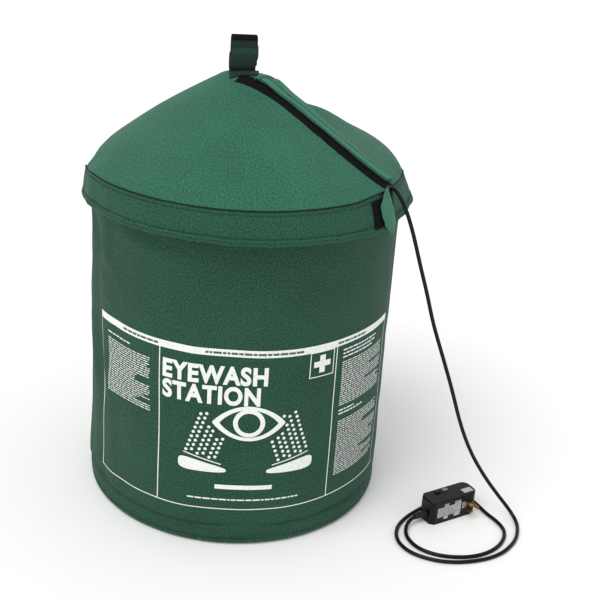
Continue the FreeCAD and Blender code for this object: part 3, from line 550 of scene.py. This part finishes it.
def makeWallEdge(values):
    # tape folded over the jacket's top edge
    out, inner, low, top = values["outside"], values["inside"], values["low"], values["top"]
    profile = [(out - 1.2, low), (out, low + 0.6), (out, top - 3), (out - 1, top - 1), (out - 3, top),
               (inner + 3, top), (inner + 1, top - 1), (inner, top - 3), (inner, low + 0.6),
               (inner + 1.2, low),
               (out - 1.2, low)]
    bm = spinProfile(profile, values["steps"])
    mapCloth(bm, lambda azimuth, r, z: (radians(azimuth) * 254, z + r))
    shapeAll(bm, lambda azimuth, r, z: at(azimuth, r, z + 0.5 * noise.noise(at(azimuth, 250, 0) * 30)))
    piece = makePiece("wallEdgeTape", bm, "station", "binding", bindingTape)
    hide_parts("wall_binding")


makeWallEdge(wallEdge)

baseStitches = {"z": 36, "pitch": 4.6, "long": 3.9, "thick": 1.1, "out": 0.1, "skip": (-8, 9)}


def stitchRow(bm, places, thick, long):
    # places: (centre, direction, outward) of each stitch
    for centre, along, out in places:
        side = out.cross(along).normalized()
        turn = Matrix((along.normalized(), side, out)).transposed().to_4x4()
        grow = Matrix.Diagonal((long * mm, thick * mm, thick * mm, 1))
        bmesh.ops.create_cube(bm, size=1.0, matrix=Matrix.Translation(centre) @ turn @ grow)


def makeBaseStitches(values):
    surface = surfaceOf(drumJacket)
    count = int(2 * pi * 254 / values["pitch"])
    places = []
    for step in range(count):
        azimuth = step * 360 / count - 180
        if values["skip"][0] < azimuth < values["skip"][1]:
            continue
        out = at(azimuth, 1000, 0)
        start = Vector((0, 0, values["z"] * mm)) + out * 0.3
        hit = surface.ray_cast(start, -out)[0]
        places.append((hit + out * values["out"] * mm, Vector((-out.y, out.x, 0)), out))
    bm = bmesh.new()
    stitchRow(bm, places, values["thick"], values["long"])
    makePiece("baseStitching", bm, "station", "green_fabric", thread, smooth=False)


makeBaseStitches(baseStitches)


print("print on the jacket")
label = {"radius": 254, "proud": 0.4, "left": -65, "right": 65, "low": 70, "bandLow": 346, "bandTop": 358,
         "dividers": (-32.75, 32.75), "line": 1.7}


def arc(azimuth):
    return radians(azimuth) * label["radius"]


def frameLines(bm, left, right, low, high, wide):
    patch(bm, (left + right) / 2, low, right - left + wide, wide)
    patch(bm, (left + right) / 2, high, right - left + wide, wide)
    patch(bm, left, (low + high) / 2, wide, high - low - wide)
    patch(bm, right, (low + high) / 2, wide, high - low - wide)


def wordRows(bm, left, right, top, low, pitch, high, seed, short=0.7):
    # rows of bars as long as words, in place of small print
    chance = random.Random(seed)
    z = top
    while z > low:
        end = right if chance.random() < short else left + (right - left) * chance.uniform(0.5, 0.95)
        u = left
        while u < end - 2:
            wide = min(chance.uniform(3.5, 13), end - u)
            patch(bm, u + wide / 2, z, wide, high)
            u += wide + 1.7
        z -= pitch


def letters(bm, words, left, wide, low, high):
    curve = bpy.data.curves.new("letters", "FONT")
    curve.body = words
    curve.offset = 0.042
    curve.resolution_u = 6
    curve.space_character = 1.1
    item = bpy.data.objects.new("letters", curve)
    bpy.context.scene.collection.objects.link(item)
    shape = bpy.data.meshes.new_from_object(item.evaluated_get(bpy.context.evaluated_depsgraph_get()))
    xs = [vert.co.x for vert in shape.vertices]
    ys = [vert.co.y for vert in shape.vertices]
    for vert in shape.vertices:
        vert.co.x = left + (vert.co.x - min(xs)) / (max(xs) - min(xs)) * wide
        vert.co.y = low + (vert.co.y - min(ys)) / (max(ys) - min(ys)) * high
        vert.co.z = 0
    bm.from_mesh(shape)
    bpy.data.objects.remove(item)
    bpy.data.curves.remove(curve)
    bpy.data.meshes.remove(shape)


def ring(bm, u, v, wide, high, thick, pointed):
    # an oval or an eye-shaped ring, as two loops bridged
    loops = []
    for inset in (0, thick):
        made = bmesh.ops.create_circle(bm, segments=56, radius=1.0)
        for vert in made["verts"]:
            x, y = vert.co.x, vert.co.y
            if pointed:
                y = y * abs(y) ** 0.75
            across = wide / 2 - inset * (1.9 if pointed else 1.0)
            vert.co = Vector((u + x * across, v + y * (high / 2 - inset), 0))
        loops += [edge for edge in bm.edges if all(v in made["verts"] for v in edge.verts)]
    bmesh.ops.bridge_loops(bm, edges=loops)


def disc(bm, u, v, radius, segments=10):
    made = bmesh.ops.create_circle(bm, cap_ends=True, segments=segments, radius=radius)
    bmesh.ops.translate(bm, verts=made["verts"], vec=(u, v, 0))
    return made["verts"]


spray = {"middle": 71, "base": 138, "half": 39, "outer": 27, "inner": 9, "rim": 63, "tilt": 15,
         "dot": 2.7, "columns": 6, "rows": 9, "apart": 9.4, "rise": 8.4, "lean": 2.8}


def sprayHead(bm, side, values):
    # a cup seen from the front, deeper at its outer end, with rows of drops leaning in to the eye
    middle = values["middle"] * side
    for vert in disc(bm, 0, 0, 1.0, 40):
        x, y = (copysign(abs(value) ** 0.55, value) for value in vert.co.xy)
        deep = values["inner"] + (values["outer"] - values["inner"]) * (1 + x * side) / 2
        vert.co = Vector((middle + x * values["half"], values["base"] + deep * (y + 1) / 2, 0))
    rim = patch(bm, 0, 0, values["rim"], 1.9)
    tilted = Matrix.Rotation(radians(values["tilt"] * side), 3, "Z")
    bmesh.ops.rotate(bm, verts=rim, cent=(0, 0, 0), matrix=tilted)
    bmesh.ops.translate(bm, verts=rim, vec=(middle, values["base"] + 24, 0))
    for column in range(values["columns"]):
        offset = (column - (values["columns"] - 1) / 2) * values["apart"]
        for row in range(values["rows"]):
            u = middle + offset - side * values["lean"] * (row - 1)
            v = values["base"] + 31 + row * values["rise"] + offset * 0.26 * side + (4 if column % 2 else 0)
            if (u / 62) ** 2 + ((v - 228) / 31) ** 2 < 1.0:
                continue
            disc(bm, u, v, values["dot"])


def cutAcross(bm, left, right, low, high, step):
    for place in range(int((right - left) / step) + 1):
        bmesh.ops.bisect_plane(bm, geom=bm.verts[:] + bm.edges[:] + bm.faces[:], dist=0.0001,
                               plane_co=(left + place * step, 0, 0), plane_no=(1, 0, 0))
    for place in range(int((high - low) / (step * 2)) + 1):
        bmesh.ops.bisect_plane(bm, geom=bm.verts[:] + bm.edges[:] + bm.faces[:], dist=0.0001,
                               plane_co=(0, low + place * step * 2, 0), plane_no=(0, 1, 0))


def layOnJacket(bm, surface, proud):
    for vert in bm.verts:
        out = at(degrees(vert.co.x / label["radius"]), 1000, 0)
        start = Vector((0, 0, vert.co.y * mm)) + out * 0.3
        hit = surface.ray_cast(start, -out)[0]
        vert.co = hit + out * proud * mm
    bm.normal_update()
    middle = Vector((0, 0, 0.2))
    turned = [face for face in bm.faces if face.normal.dot(face.calc_center_median() - middle) < 0]
    bmesh.ops.reverse_faces(bm, faces=turned)


def printJacket(values):
    left, right = arc(values["left"]), arc(values["right"])
    white = bmesh.new()
    low, line = values["low"], values["line"]
    patch(white, (left + right) / 2, (values["bandLow"] + values["bandTop"]) / 2, right - left, 12)
    patch(white, (left + right) / 2, low, right - left, line)
    for azimuth in (values["left"], *values["dividers"], values["right"]):
        inward = line / 2 if azimuth == values["left"] else -line / 2 if azimuth == values["right"] else 0
        patch(white, arc(azimuth) + inward, (low + values["bandLow"]) / 2, line, values["bandLow"] - low)
    letters(white, "EYEWASH", arc(-31.4), 166, 296.5, 33)
    letters(white, "STATION", arc(-31.4), 156, 261, 33)
    # first-aid cross in its box
    frameLines(white, 95, 139, 302, 345.5, 1.6)
    patch(white, 117, 324, 31, 10)
    patch(white, 117, 334.2, 10.4, 10.4)
    patch(white, 117, 313.8, 10.4, 10.4)
    # an eye, and two spray heads under it
    ring(white, 1, 230, 116, 62, 6.2, True)
    ring(white, 1, 231, 50, 50, 7.4, False)
    sprayHead(white, -1, spray)
    sprayHead(white, 1, spray)
    patch(white, -3, 112, 92, 8)
    wordRows(white, arc(-21), arc(20), 88, 86, 6, 2.6, 5, 1.0)
    # small print
    wordRows(white, arc(-60), arc(-42), 330, 325, 5, 2.3, 11, 0.0)
    wordRows(white, arc(-60), arc(-37), 319, 222, 3.9, 1.5, 12)
    wordRows(white, arc(36), arc(56), 336, 322, 6.5, 2.6, 13, 0.4)
    wordRows(white, arc(36), arc(62), 314, 236, 3.9, 1.5, 14)
    wordRows(white, arc(36), arc(54), 226, 214, 6.2, 2.5, 15, 0.3)
    wordRows(white, arc(36), arc(62), 206, 104, 3.9, 1.5, 16)
    cutAcross(white, left, right, low, values["bandTop"], 9)
    surface = surfaceOf(drumJacket)
    layOnJacket(white, surface, values["proud"])
    makePiece("screenPrint", white, "station", "label", screenInk, smooth=False)
    dark = bmesh.new()
    for start, end, seed in ((-50, -33.5, 21), (-16, 19, 22), (33, 48, 23)):
        wordRows(dark, arc(start), arc(end), 351.6, 350, 8, 3.6, seed, 1.0)
    cutAcross(dark, left, right, 340, 360, 9)
    layOnJacket(dark, surface, values["proud"] + 0.25)
    makePiece("bandPrint", dark, "station", "label", darkInk, smooth=False)


printJacket(label)


print("cover")
# the seam between the cone and the band, and the hem: (azimuth, seam r, seam z, hem r, hem z)
rim = [(-180, 268, 586, 278, 539), (-142, 265, 583, 276, 538), (-125, 259, 568, 268, 531),
       (-110, 257, 557, 264, 527), (-93, 256, 561, 263, 527), (-80, 262, 575, 267, 531),
       (-66, 267, 585, 273, 536), (-45, 270, 588, 279, 539), (-20, 271, 588, 280, 540),
       (0, 271, 588, 280, 539),
       (30, 271, 589, 280, 538), (45, 270, 594, 279, 536), (52, 268, 595, 277, 535), (58, 263, 594, 276, 541),
       (70, 257, 588, 275, 546), (90, 253, 578, 270, 540), (125, 258, 572, 270, 534),
       (160, 266, 582, 277, 537)]
cover = {"lean": 0.5297, "thick": 9.6, "steps": 288, "slope": 137 / 234, "slit": 50, "gap": 9.0,
         "gapFrom": 230,
         "crown": 4.0, "sag": 31.0, "lowSag": 10.0,
         "cloth": {"spare": 0.003, "pressure": 3.0, "stiffness": 1.5, "farthest": 3.0, "deepest": 2.0}}


def coneShape(azimuth, r, z):
    seamR, seamZ = fromTable(rim, azimuth)[:2]
    full = r / 270
    part = min(1.0, max(0.0, (r - 36) / 234))
    drop = (seamZ - 588) * full ** 12
    pull = 1 + (seamR / 270 - 1) * full ** 10
    off = abs(azimuth - cover["slit"])
    panel = ease(azimuth, 56, 74) * (1 - ease(azimuth, 150, 185))
    front = (1 - ease(azimuth, 18, 44)) * ease(azimuth, -120, -80) if azimuth < 50 else 0
    lift = cover["crown"] * sin(pi * part) * front
    lift -= 11 * hump(part, 0.78, 0.26) * hump(azimuth, -116, 42)
    lift -= panel * (cover["sag"] - 10 * hump(azimuth, 112, 16)) * hump(part, 0.24, 0.2)
    lift -= panel * cover["lowSag"] * hump(part, 0.62, 0.2)
    lift += 2.5 * hump(azimuth, 56, 4) * ease(part, 0.0, 0.1) * (1 - ease(part, 0.9, 1.0))
    soft = 1.6 * noise.noise(at(azimuth, r, 0) * 8 + Vector((5, 0, 0)))
    soft = soft * ease(part, 0.05, 0.3) * ease(off, 3, 15)
    return at(azimuth, r * pull, z + drop + lift + soft)


def coneFlat(azimuth, r, z):
    # the cone's cloth laid flat; its height follows from its radius
    slant = r / cos(cover["lean"])
    turn = radians(azimuth) * cos(cover["lean"])
    return slant * sin(turn), -slant * cos(turn)


def makeCover(values):
    profile = [(0, 727.5), (10, 727.3), (20, 726.6), (29, 725), (36, 722.6), (43, 719.5)]
    profile += [(50 + 6.2 * step, 725 - values["slope"] * (14 + 6.2 * step)) for step in range(34)]
    profile += [(258, 595.0), (263, 592.1), (267, 589.8), (269.2, 588.5), (270, 587.2)]
    bm = spinProfile(profile, values["steps"])
    facesOut(bm)
    mapCloth(bm, coneFlat)
    shapeAll(bm, coneShape)
    piece = makePiece("coneCover", bm, "cover", "green_fabric", coverClothPaintedLight, liningCloth)

    def seams(azimuth, r, z):
        return 1.0 if r > 255 or r < 40 or abs(azimuth - 50) < 7 else 0.0

    relaxCloth(piece, seams, values["cloth"])
    surface = surfaceOf(piece)
    bm = bmesh.new()
    bm.from_mesh(piece.data)
    cutGap(bm, values["slit"], values["gap"], values["gapFrom"])
    bm.to_mesh(piece.data)
    bm.free()
    thicken(piece, values["thick"], inside=1, edge=1)
    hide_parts("cover_shell", "cover_foam", "cover_lining")
    return piece, surface


coneCover, coneSurface = makeCover(cover)

band = {"thick": 3.0, "steps": 288, "height": 47, "rows": (0.13, 0.80, 0.93), "pitch": 5.0, "long": 3.5,
        "thread": 0.7}


def bandPlace(azimuth, part, out=0.0):
    # part runs from 0 at the seam to 1 at the hem; out is measured from the outer face
    seamR, seamZ, hemR, hemZ = fromTable(rim, azimuth)
    belly = 1.3 * sin(pi * part) + 0.9 * noise.noise(at(azimuth, 250, 0) * 16 + Vector((0, 0, part)))
    wave = (1.6 * noise.noise(at(azimuth, 250, 0) * 11) + 0.8 * sin(radians(azimuth) * 31)) * part
    r = seamR + (hemR - seamR) * part + belly + wave + out
    z = seamZ + (hemZ - seamZ) * part + 0.6 * noise.noise(at(azimuth, 250, 0) * 20) * part
    return at(azimuth, r, z)


def dressBand(azimuth, r, z):
    # the spun strip is drawn at r = 300 + out, z = -47 x part
    part = -z / band["height"]
    dent = sum(-0.5 * hump(part, row, 0.035) for row in band["rows"])
    return bandPlace(azimuth, part, r - 300 + dent)


def makeBand(values):
    count = 26
    profile = [(300, -values["height"] * step / count) for step in range(count + 1)]
    bm = spinProfile(profile, values["steps"])
    facesOut(bm)
    mapCloth(bm, lambda azimuth, r, z: (radians(azimuth) * 275, z))
    shapeAll(bm, dressBand)
    cutGap(bm, cover["slit"], cover["gap"], cover["gapFrom"])
    piece = makePiece("coverBand", bm, "cover", "green_band", bandCloth)
    thicken(piece, values["thick"])
    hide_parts("cover_band")

    # rolled hem: the cloth turned up over itself along the lower edge
    low = -values["height"]
    profile = [(299.2, low + 8), (300.9, low + 7.6), (301.6, low + 5.5), (301.7, low + 1), (301, low - 1.2),
               (299, low - 2.2), (297, low - 1.8), (295.8, low - 0.4), (295.6, low + 4), (296.6, low + 6.6),
               (299.2, low + 8)]
    bm = spinProfile(profile, values["steps"])
    mapCloth(bm, lambda azimuth, r, z: (radians(azimuth) * 275, z + r))
    shapeAll(bm, lambda azimuth, r, z: bandPlace(azimuth, -z / band["height"], r - 300))
    cutGap(bm, cover["slit"], cover["gap"], cover["gapFrom"])
    bmesh.ops.holes_fill(bm, edges=bm.edges, sides=16)
    hem = makePiece("bandHem", bm, "cover", "binding", bandCloth)
    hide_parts("hem_binding")

    # cord piping sewn into the seam
    profile = [(300 + 1.3 * cos(step * pi / 4), 0.4 + 1.3 * sin(step * pi / 4)) for step in range(9)]
    bm = spinProfile(profile, values["steps"])
    shapeAll(bm, lambda azimuth, r, z: bandPlace(azimuth, 0, r - 300) + Vector((0, 0, z * mm)))
    cutGap(bm, cover["slit"], cover["gap"], cover["gapFrom"])
    bmesh.ops.holes_fill(bm, edges=bm.edges, sides=16)
    piping = makePiece("seamPiping", bm, "cover", "binding", pipingCloth)
    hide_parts("seam_piping")

    bm = bmesh.new()
    count = int(2 * pi * 275 / values["pitch"])
    for row in values["rows"]:
        places = []
        for step in range(count):
            azimuth = -180 + 360 * (step + 0.5) / count
            if abs(azimuth - cover["slit"]) < 2.4:
                continue
            here = bandPlace(azimuth, row, 1.75 if row > 0.84 else 0.0)
            there = bandPlace(azimuth + 0.5, row, 1.75 if row > 0.84 else 0.0)
            places.append((here, there - here, at(azimuth, 1000, 0)))
        stitchRow(bm, places, values["thread"], values["long"])
    stitching = makePiece("bandStitching", bm, "cover", "green_band", thread, smooth=False)


makeBand(band)


print("slit tape, flap and leaf")


def slitLine(along, across):
    # plan position: along the slit from its start by the strap, across it towards the right-hand panel
    turn = radians(slit["heading"])
    x, y = slit["from"]
    return (x + along * sin(turn) + across * cos(turn), y - along * cos(turn) + across * sin(turn))


def onCone(x, y, lift):
    hit, normal = coneSurface.ray_cast(Vector((x * mm, y * mm, 1.0)), Vector((0, 0, -1)))[:2]
    if hit is None:
        hit, normal = Vector((x * mm, y * mm, 0.59)), Vector((0, 0, 1))
    return hit + normal * lift * mm


def clothStrip(name, body, slot, materials, length, columns, rule, thick, rows=60, flip=False, levels=0):
    # a strip of cloth: rule(u, v) gives its place for u across and v along, both 0 to 1
    bm = bmesh.new()
    made = bmesh.ops.create_grid(bm, x_segments=columns, y_segments=rows, size=0.5)
    layer = bm.loops.layers.uv.verify()
    for face in bm.faces:
        for loop in face.loops:
            u, v = loop.vert.co.x + 0.5, loop.vert.co.y + 0.5
            loop[layer].uv = (u * length[0] * mm, v * length[1] * mm)
    for vert in made["verts"]:
        vert.co = rule(vert.co.x + 0.5, vert.co.y + 0.5)
    if flip:
        bmesh.ops.reverse_faces(bm, faces=bm.faces)
    piece = makePiece(name, bm, body, slot, *materials)
    addModifier(piece, "SOLIDIFY", thickness=thick * mm, offset=1.0)
    if levels:
        addModifier(piece, "SUBSURF", levels=levels, render_levels=levels)
    return piece


slit = {"from": (-3, -42.5), "heading": 59.1, "long": 232, "tapeHalf": 12.5, "tapeThick": 1.4,
        "flapFrom": 10, "flapLong": 225, "flapOver": 8, "hinge": 56.5, "flapThick": 2.4, "bound": 10.0}


def flapSpot(u, v):
    # u from the free edge beside the tape to the hinged edge, v down the slope
    x0, y0 = slitLine(slit["flapFrom"] + slit["flapLong"] * v, slit["flapOver"])
    hinged = at(slit["hinge"], 46 + 210 * v, 0) / mm
    return x0 + (hinged.x - x0) * u, y0 + (hinged.y - y0) * u


def makeSlit(values):
    def tapeRule(u, v):
        along = -24 + (values["long"] + 37) * v
        wander = 1.2 * noise.noise(Vector((0, v * 5, 0)))
        across = values["tapeHalf"] * (2 * u - 1) + wander
        return onCone(*slitLine(along, across), 0.3 + 1.2 * noise.noise(Vector((u * 2, v * 9, 2))) ** 2)

    tape = clothStrip("slitTape", "cover", "hook_tape", [loopTape], (25, values["long"]), 10, tapeRule,
                      values["tapeThick"], rows=70)
    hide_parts("slope_tape")

    def flapRule(u, v):
        lip = 1.2 * hump(u, 0, 0.2) + 1.5 * hump(u, 0.55, 0.3)
        return onCone(*flapSpot(u, v), 2.4 + lip + 1.6 * noise.noise(Vector((u * 1.5, v * 7, 4))))

    flap = clothStrip("slitFlap", None, "green_fabric", [flapCloth], (24, values["long"]), 12, flapRule,
                      values["flapThick"])
    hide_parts("slit_flap")
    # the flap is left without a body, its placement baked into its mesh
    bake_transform(flap)

    # the flap's free edge is bound: a soft roll of the same cloth, and a row of stitches beside it
    bm = bmesh.new()
    rows = 70
    loops = []
    for row in range(rows + 1):
        v = row / rows
        wide = values["bound"] * (1 + 0.14 * noise.noise(Vector((v * 9, 0, 1)))) / 2
        made = bmesh.ops.create_circle(bm, segments=12, radius=1.0)
        along = values["flapFrom"] - 2 + (values["flapLong"] + 3) * v
        for vert in made["verts"]:
            x, y = vert.co.x, vert.co.y
            across = values["flapOver"] + wide * (0.8 + x)
            vert.co = onCone(*slitLine(along, across), 5.2 + y * 2.4 * (1 - 0.15 * x))
        loops += [edge for edge in bm.edges if all(v in made["verts"] for v in edge.verts)]
    bmesh.ops.bridge_loops(bm, edges=loops)
    bmesh.ops.holes_fill(bm, edges=bm.edges, sides=14)
    bmesh.ops.recalc_face_normals(bm, faces=bm.faces)
    roll = makePiece("flapEdgeRoll", bm, "slit_flap", "green_fabric", flapCloth)
    addModifier(roll, "SUBSURF", levels=1, render_levels=1)

    bm = bmesh.new()
    places = []
    for step in range(46):
        along = values["flapFrom"] + 3 + (values["flapLong"] - 6) * (step + 0.5) / 46
        across = values["flapOver"] + values["bound"] * 1.02
        here, there = (onCone(*slitLine(along + more, across), 5.6) for more in (0, 1))
        places.append((here, there - here, Vector((0.3, -0.25, 0.9)).normalized()))
    stitchRow(bm, places, 0.9, 4.0)
    makePiece("flapStitching", bm, "slit_flap", "green_fabric", thread, smooth=False)

    # the flap's top corner is turned back on itself beside the strap
    def tabRule(u, v):
        turn = pi * 1.25 * v
        x, y = slitLine(values["flapFrom"] - 6 + 9 * (1 - cos(turn)) / 2, values["flapOver"] - 6 + 15 * u)
        return onCone(x, y, 5 + 4.5 * sin(turn) + 3 * v)

    clothStrip("flapTopTab", "slit_flap", "green_fabric", [flapCloth], (15, 14), 6, tabRule, 1.6, rows=12)


makeSlit(slit)


leaf = {"rows": [(0.0, -19, -13), (0.16, -28, -9), (0.32, -36, -5), (0.5, -34, 0), (0.72, -27, 5),
                 (0.9, -16, 1), (1.0, -8, -6)], "top": -0.12, "bottom": 1.18, "fold": 3.0}


def makeLeaf(values):
    # the loose end of the band hangs over the notch, cut to a point and folded down its right side
    def edges(v):
        for low, high in zip(values["rows"], values["rows"][1:]):
            if v <= high[0]:
                part = ease(v, low[0], high[0])
                return low[1] + (high[1] - low[1]) * part, low[2] + (high[2] - low[2]) * part
        return values["rows"][-1][1:]

    def leafRule(u, v):
        left, right = edges(v)
        across = left + (right - left) * u
        azimuth = cover["slit"] + degrees(across / 272)
        fold = values["fold"] * sin(pi * u) * (1 - 0.3 * v) + 1.5 * (1 - u)
        down = values["top"] + (values["bottom"] - values["top"]) * v
        return bandPlace(azimuth, down, 2.2 + fold + 1.5 * v)

    piece = clothStrip("bandLeaf", "cover", "green_band", [flapCloth], (40, 64), 12, leafRule, 1.8, rows=24,
                       flip=True)
    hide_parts("band_flap")

    def hookRule(u, v):
        across = -52 + (24 - 3 * v) * u + 5 * v
        return bandPlace(cover["slit"] + degrees(across / 272), 0.12 + 0.78 * v, 0.9)

    clothStrip("bandHookPatch", "cover", "hook_tape", [loopTape], (30, 40), 8, hookRule, 1.0, rows=12,
               flip=True)


makeLeaf(leaf)


print("carrying strap")
strap = {"x": -13, "wide": 42, "low": 745, "high": 775, "radius": 9, "thick": 2.5,
         "keeper": (756.5, 759), "wrap": (739.5, 747)}


def loopOutline(low, high, radius):
    # an upright stadium in the YZ plane
    points = []
    for step in range(13):
        turn = pi * step / 12
        points.append((radius * cos(turn), high + radius * sin(turn)))
    for step in range(13):
        turn = pi + pi * step / 12
        points.append((radius * cos(turn), low + radius * sin(turn)))
    return points


def strapBand(name, body, slot, material, x0, x1, low, high, radius, thick, cuts=8):
    bm = bmesh.new()
    line = [bm.verts.new((x0 * mm, y * mm, z * mm)) for y, z in loopOutline(low, high, radius)]
    edges = [bm.edges.new(pair) for pair in zip(line, line[1:] + line[:1])]
    layer = bm.loops.layers.uv.verify()
    edge = edges
    for cut in range(cuts):
        made = bmesh.ops.extrude_edge_only(bm, edges=edge)
        verts = [item for item in made["geom"] if isinstance(item, bmesh.types.BMVert)]
        edge = [item for item in made["geom"] if isinstance(item, bmesh.types.BMEdge)]
        bmesh.ops.translate(bm, verts=verts, vec=((x1 - x0) / cuts * mm, 0, 0))
    bmesh.ops.recalc_face_normals(bm, faces=bm.faces)
    for face in bm.faces:
        for loop in face.loops:
            loop[layer].uv = (loop.vert.co.z + loop.vert.co.y * 0.3, loop.vert.co.x)
    for vert in bm.verts:
        side = (vert.co.x / mm - (x0 + x1) / 2) / ((x1 - x0) / 2)
        vert.co.y += 0.6 * mm * noise.noise(vert.co * 60)
        vert.co.z += 0.7 * mm * noise.noise(vert.co * 40) - 0.5 * mm * side * side
    piece = makePiece(name, bm, body, slot, material)
    addModifier(piece, "SOLIDIFY", thickness=thick * mm, offset=-1.0, use_even_offset=True)
    addModifier(piece, "BEVEL", width=0.5 * mm, segments=2, limit_method="ANGLE")
    return piece


def makeStrap(values):
    left, right = values["x"] - values["wide"] / 2, values["x"] + values["wide"] / 2
    loop = strapBand("strapLoop", "apex_strap", "webbing", webbing, left, right, values["low"],
                     values["high"], values["radius"], values["thick"])
    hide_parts("apex_strap")
    strapBand("strapKeeper", "apex_strap", "webbing", keeperWebbing, left + 2.5, right + 1.5,
              *values["keeper"], values["radius"] + 1.6, 1.4)
    wrap = strapBand("strapHookWrap", None, "hook_tape", webbing, left - 1.5, right - 2,
                     *values["wrap"], values["radius"] + 1.8, 1.6)
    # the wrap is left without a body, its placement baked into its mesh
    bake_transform(wrap)
    # the black edge of the fold at the top
    def topRule(u, v):
        turn = pi * (0.1 + 0.8 * v)
        r = values["radius"] + 0.4
        return Vector((left + 1 + (right - left - 2) * u, r * cos(turn), values["high"] + r * sin(turn))) * mm

    # the strap's root is sewn over the apex, and laps down its front
    def rootRule(u, v):
        x = left - 1 + (right - left + 4) * u
        y = -25 + 36 * v
        ridge = 1.5 * hump(y, 0, 7)
        return onCone(x, y, 0.6 + ridge + 0.6 * noise.noise(Vector((u * 3, v * 3, 7))))

    root = clothStrip("strapRoot", "cover", "webbing", [webbing], (50, 44), 14, rootRule, 2.0, rows=14)
    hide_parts("strap_anchor")

    clothStrip("strapTopTape", "apex_strap", "hook_tape", [loopTape], (40, 26), 8, topRule, 0.9, rows=14,
               flip=True)


makeStrap(strap)


print("plug labels")
plugSeat = {"corner": (328, -207, 0), "heading": 24.7}


def onPlug(bm, low, front):
    # patches drawn flat are stood on the plug's front face, or laid on its top
    turn = Matrix.Rotation(radians(plugSeat["heading"]), 4, "Z")
    for vert in bm.verts:
        u, v = vert.co.x, vert.co.y
        place = Vector((u, -low, v)) if front else Vector((u, v, low))
        vert.co = (turn @ place + Vector(plugSeat["corner"])) * mm


def makePlugLabels():
    face = bmesh.new()
    patch(face, 36.5, 22, 50, 19)
    for u, wide in ((30, 9), (54, 13)):
        patch(face, u, 34, wide, 6)
        patch(face, u, 10, wide, 6)
    onPlug(face, 0.45, True)
    small = bmesh.new()
    patch(small, 69, 24, 8.5, 13)
    onPlug(small, 0.45, True)
    top = bmesh.new()
    patch(top, 82, 12, 20, 12)
    onPlug(top, 43.45, False)
    mesh = bpy.data.meshes.new("spare")
    for part in (small, top):
        part.to_mesh(mesh)
        face.from_mesh(mesh)
        part.free()
    bpy.data.meshes.remove(mesh)
    bmesh.ops.recalc_face_normals(face, faces=face.faces)
    labels = makePiece("plugLabels", face, "station", "label", labelFilm, smooth=False)
    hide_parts("plug_labels")
    bars = bmesh.new()
    wordRows(bars, 14, 60, 29.5, 13, 2.6, 0.9, 31, 0.6)
    wordRows(bars, 27, 34, 35.6, 31, 2.4, 0.8, 32)
    wordRows(bars, 49, 60, 35.6, 31, 2.4, 0.8, 33)
    wordRows(bars, 66, 72.5, 28.5, 18, 2.2, 0.8, 34)
    onPlug(bars, 0.6, True)
    marks = makePiece("plugLabelPrint", bars, "station", "label", darkInk, smooth=False)
    return [labels, marks]


plugLabels = makePlugLabels()

print("finishes on the metal and moulded parts")
finishes = {
    "foot_ring": brushedStainless, "tank_shell": brushedStainless, "guard_collar": brushedStainless,
    "collar_trim": blackRubber, "port_nipple": turnedBrass, "dip_tube": greyNylon,
    "strainer": brushedStainless, "valve_body": turnedBrass, "valve_ball": chromePlate,
    "valve_spindle": turnedBrass,
    "spindle_bracket": brushedStainless, "push_flag": powderCoat, "tee": turnedBrass,
    "supply_arms": chromePlate,
    "left_head": yellowAbs, "right_head": yellowAbs, "left_cap": yellowAbs, "right_cap": yellowAbs,
    "flow_screens": brushedStainless, "bowl": spunStainless, "bowl_locknuts": turnedBrass,
    "bowl_drain": chromePlate, "waste_pipe": greyNylon, "fill_neck": turnedBrass, "fill_cap": turnedBrass,
    "gauge_case": chromePlate, "gauge_needle": needlePaint, "gauge_lens": clearLens, "air_valve": turnedBrass,
    "relief_valve": turnedBrass, "relief_ring": chromePlate, "heater_mat": siliconeMat,
    "thermostat": blackCase, "heater_lead": cordPvc, "cord_gland": blackCase, "plug_front": blackCase,
    "plug_rear": blackCase, "plug_pins": turnedBrass, "plug_screws": chromePlate,
    "strain_relief": blackRubber,
    "reset_button": blackCase, "test_button": greyNylon}


def finishParts(table):
    for name, material in table.items():
        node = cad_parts[name]
        if not node.material_slots:
            node.data.materials.append(material)
        for slot in node.material_slots:
            slot.material = material


finishParts(finishes)

print("done")
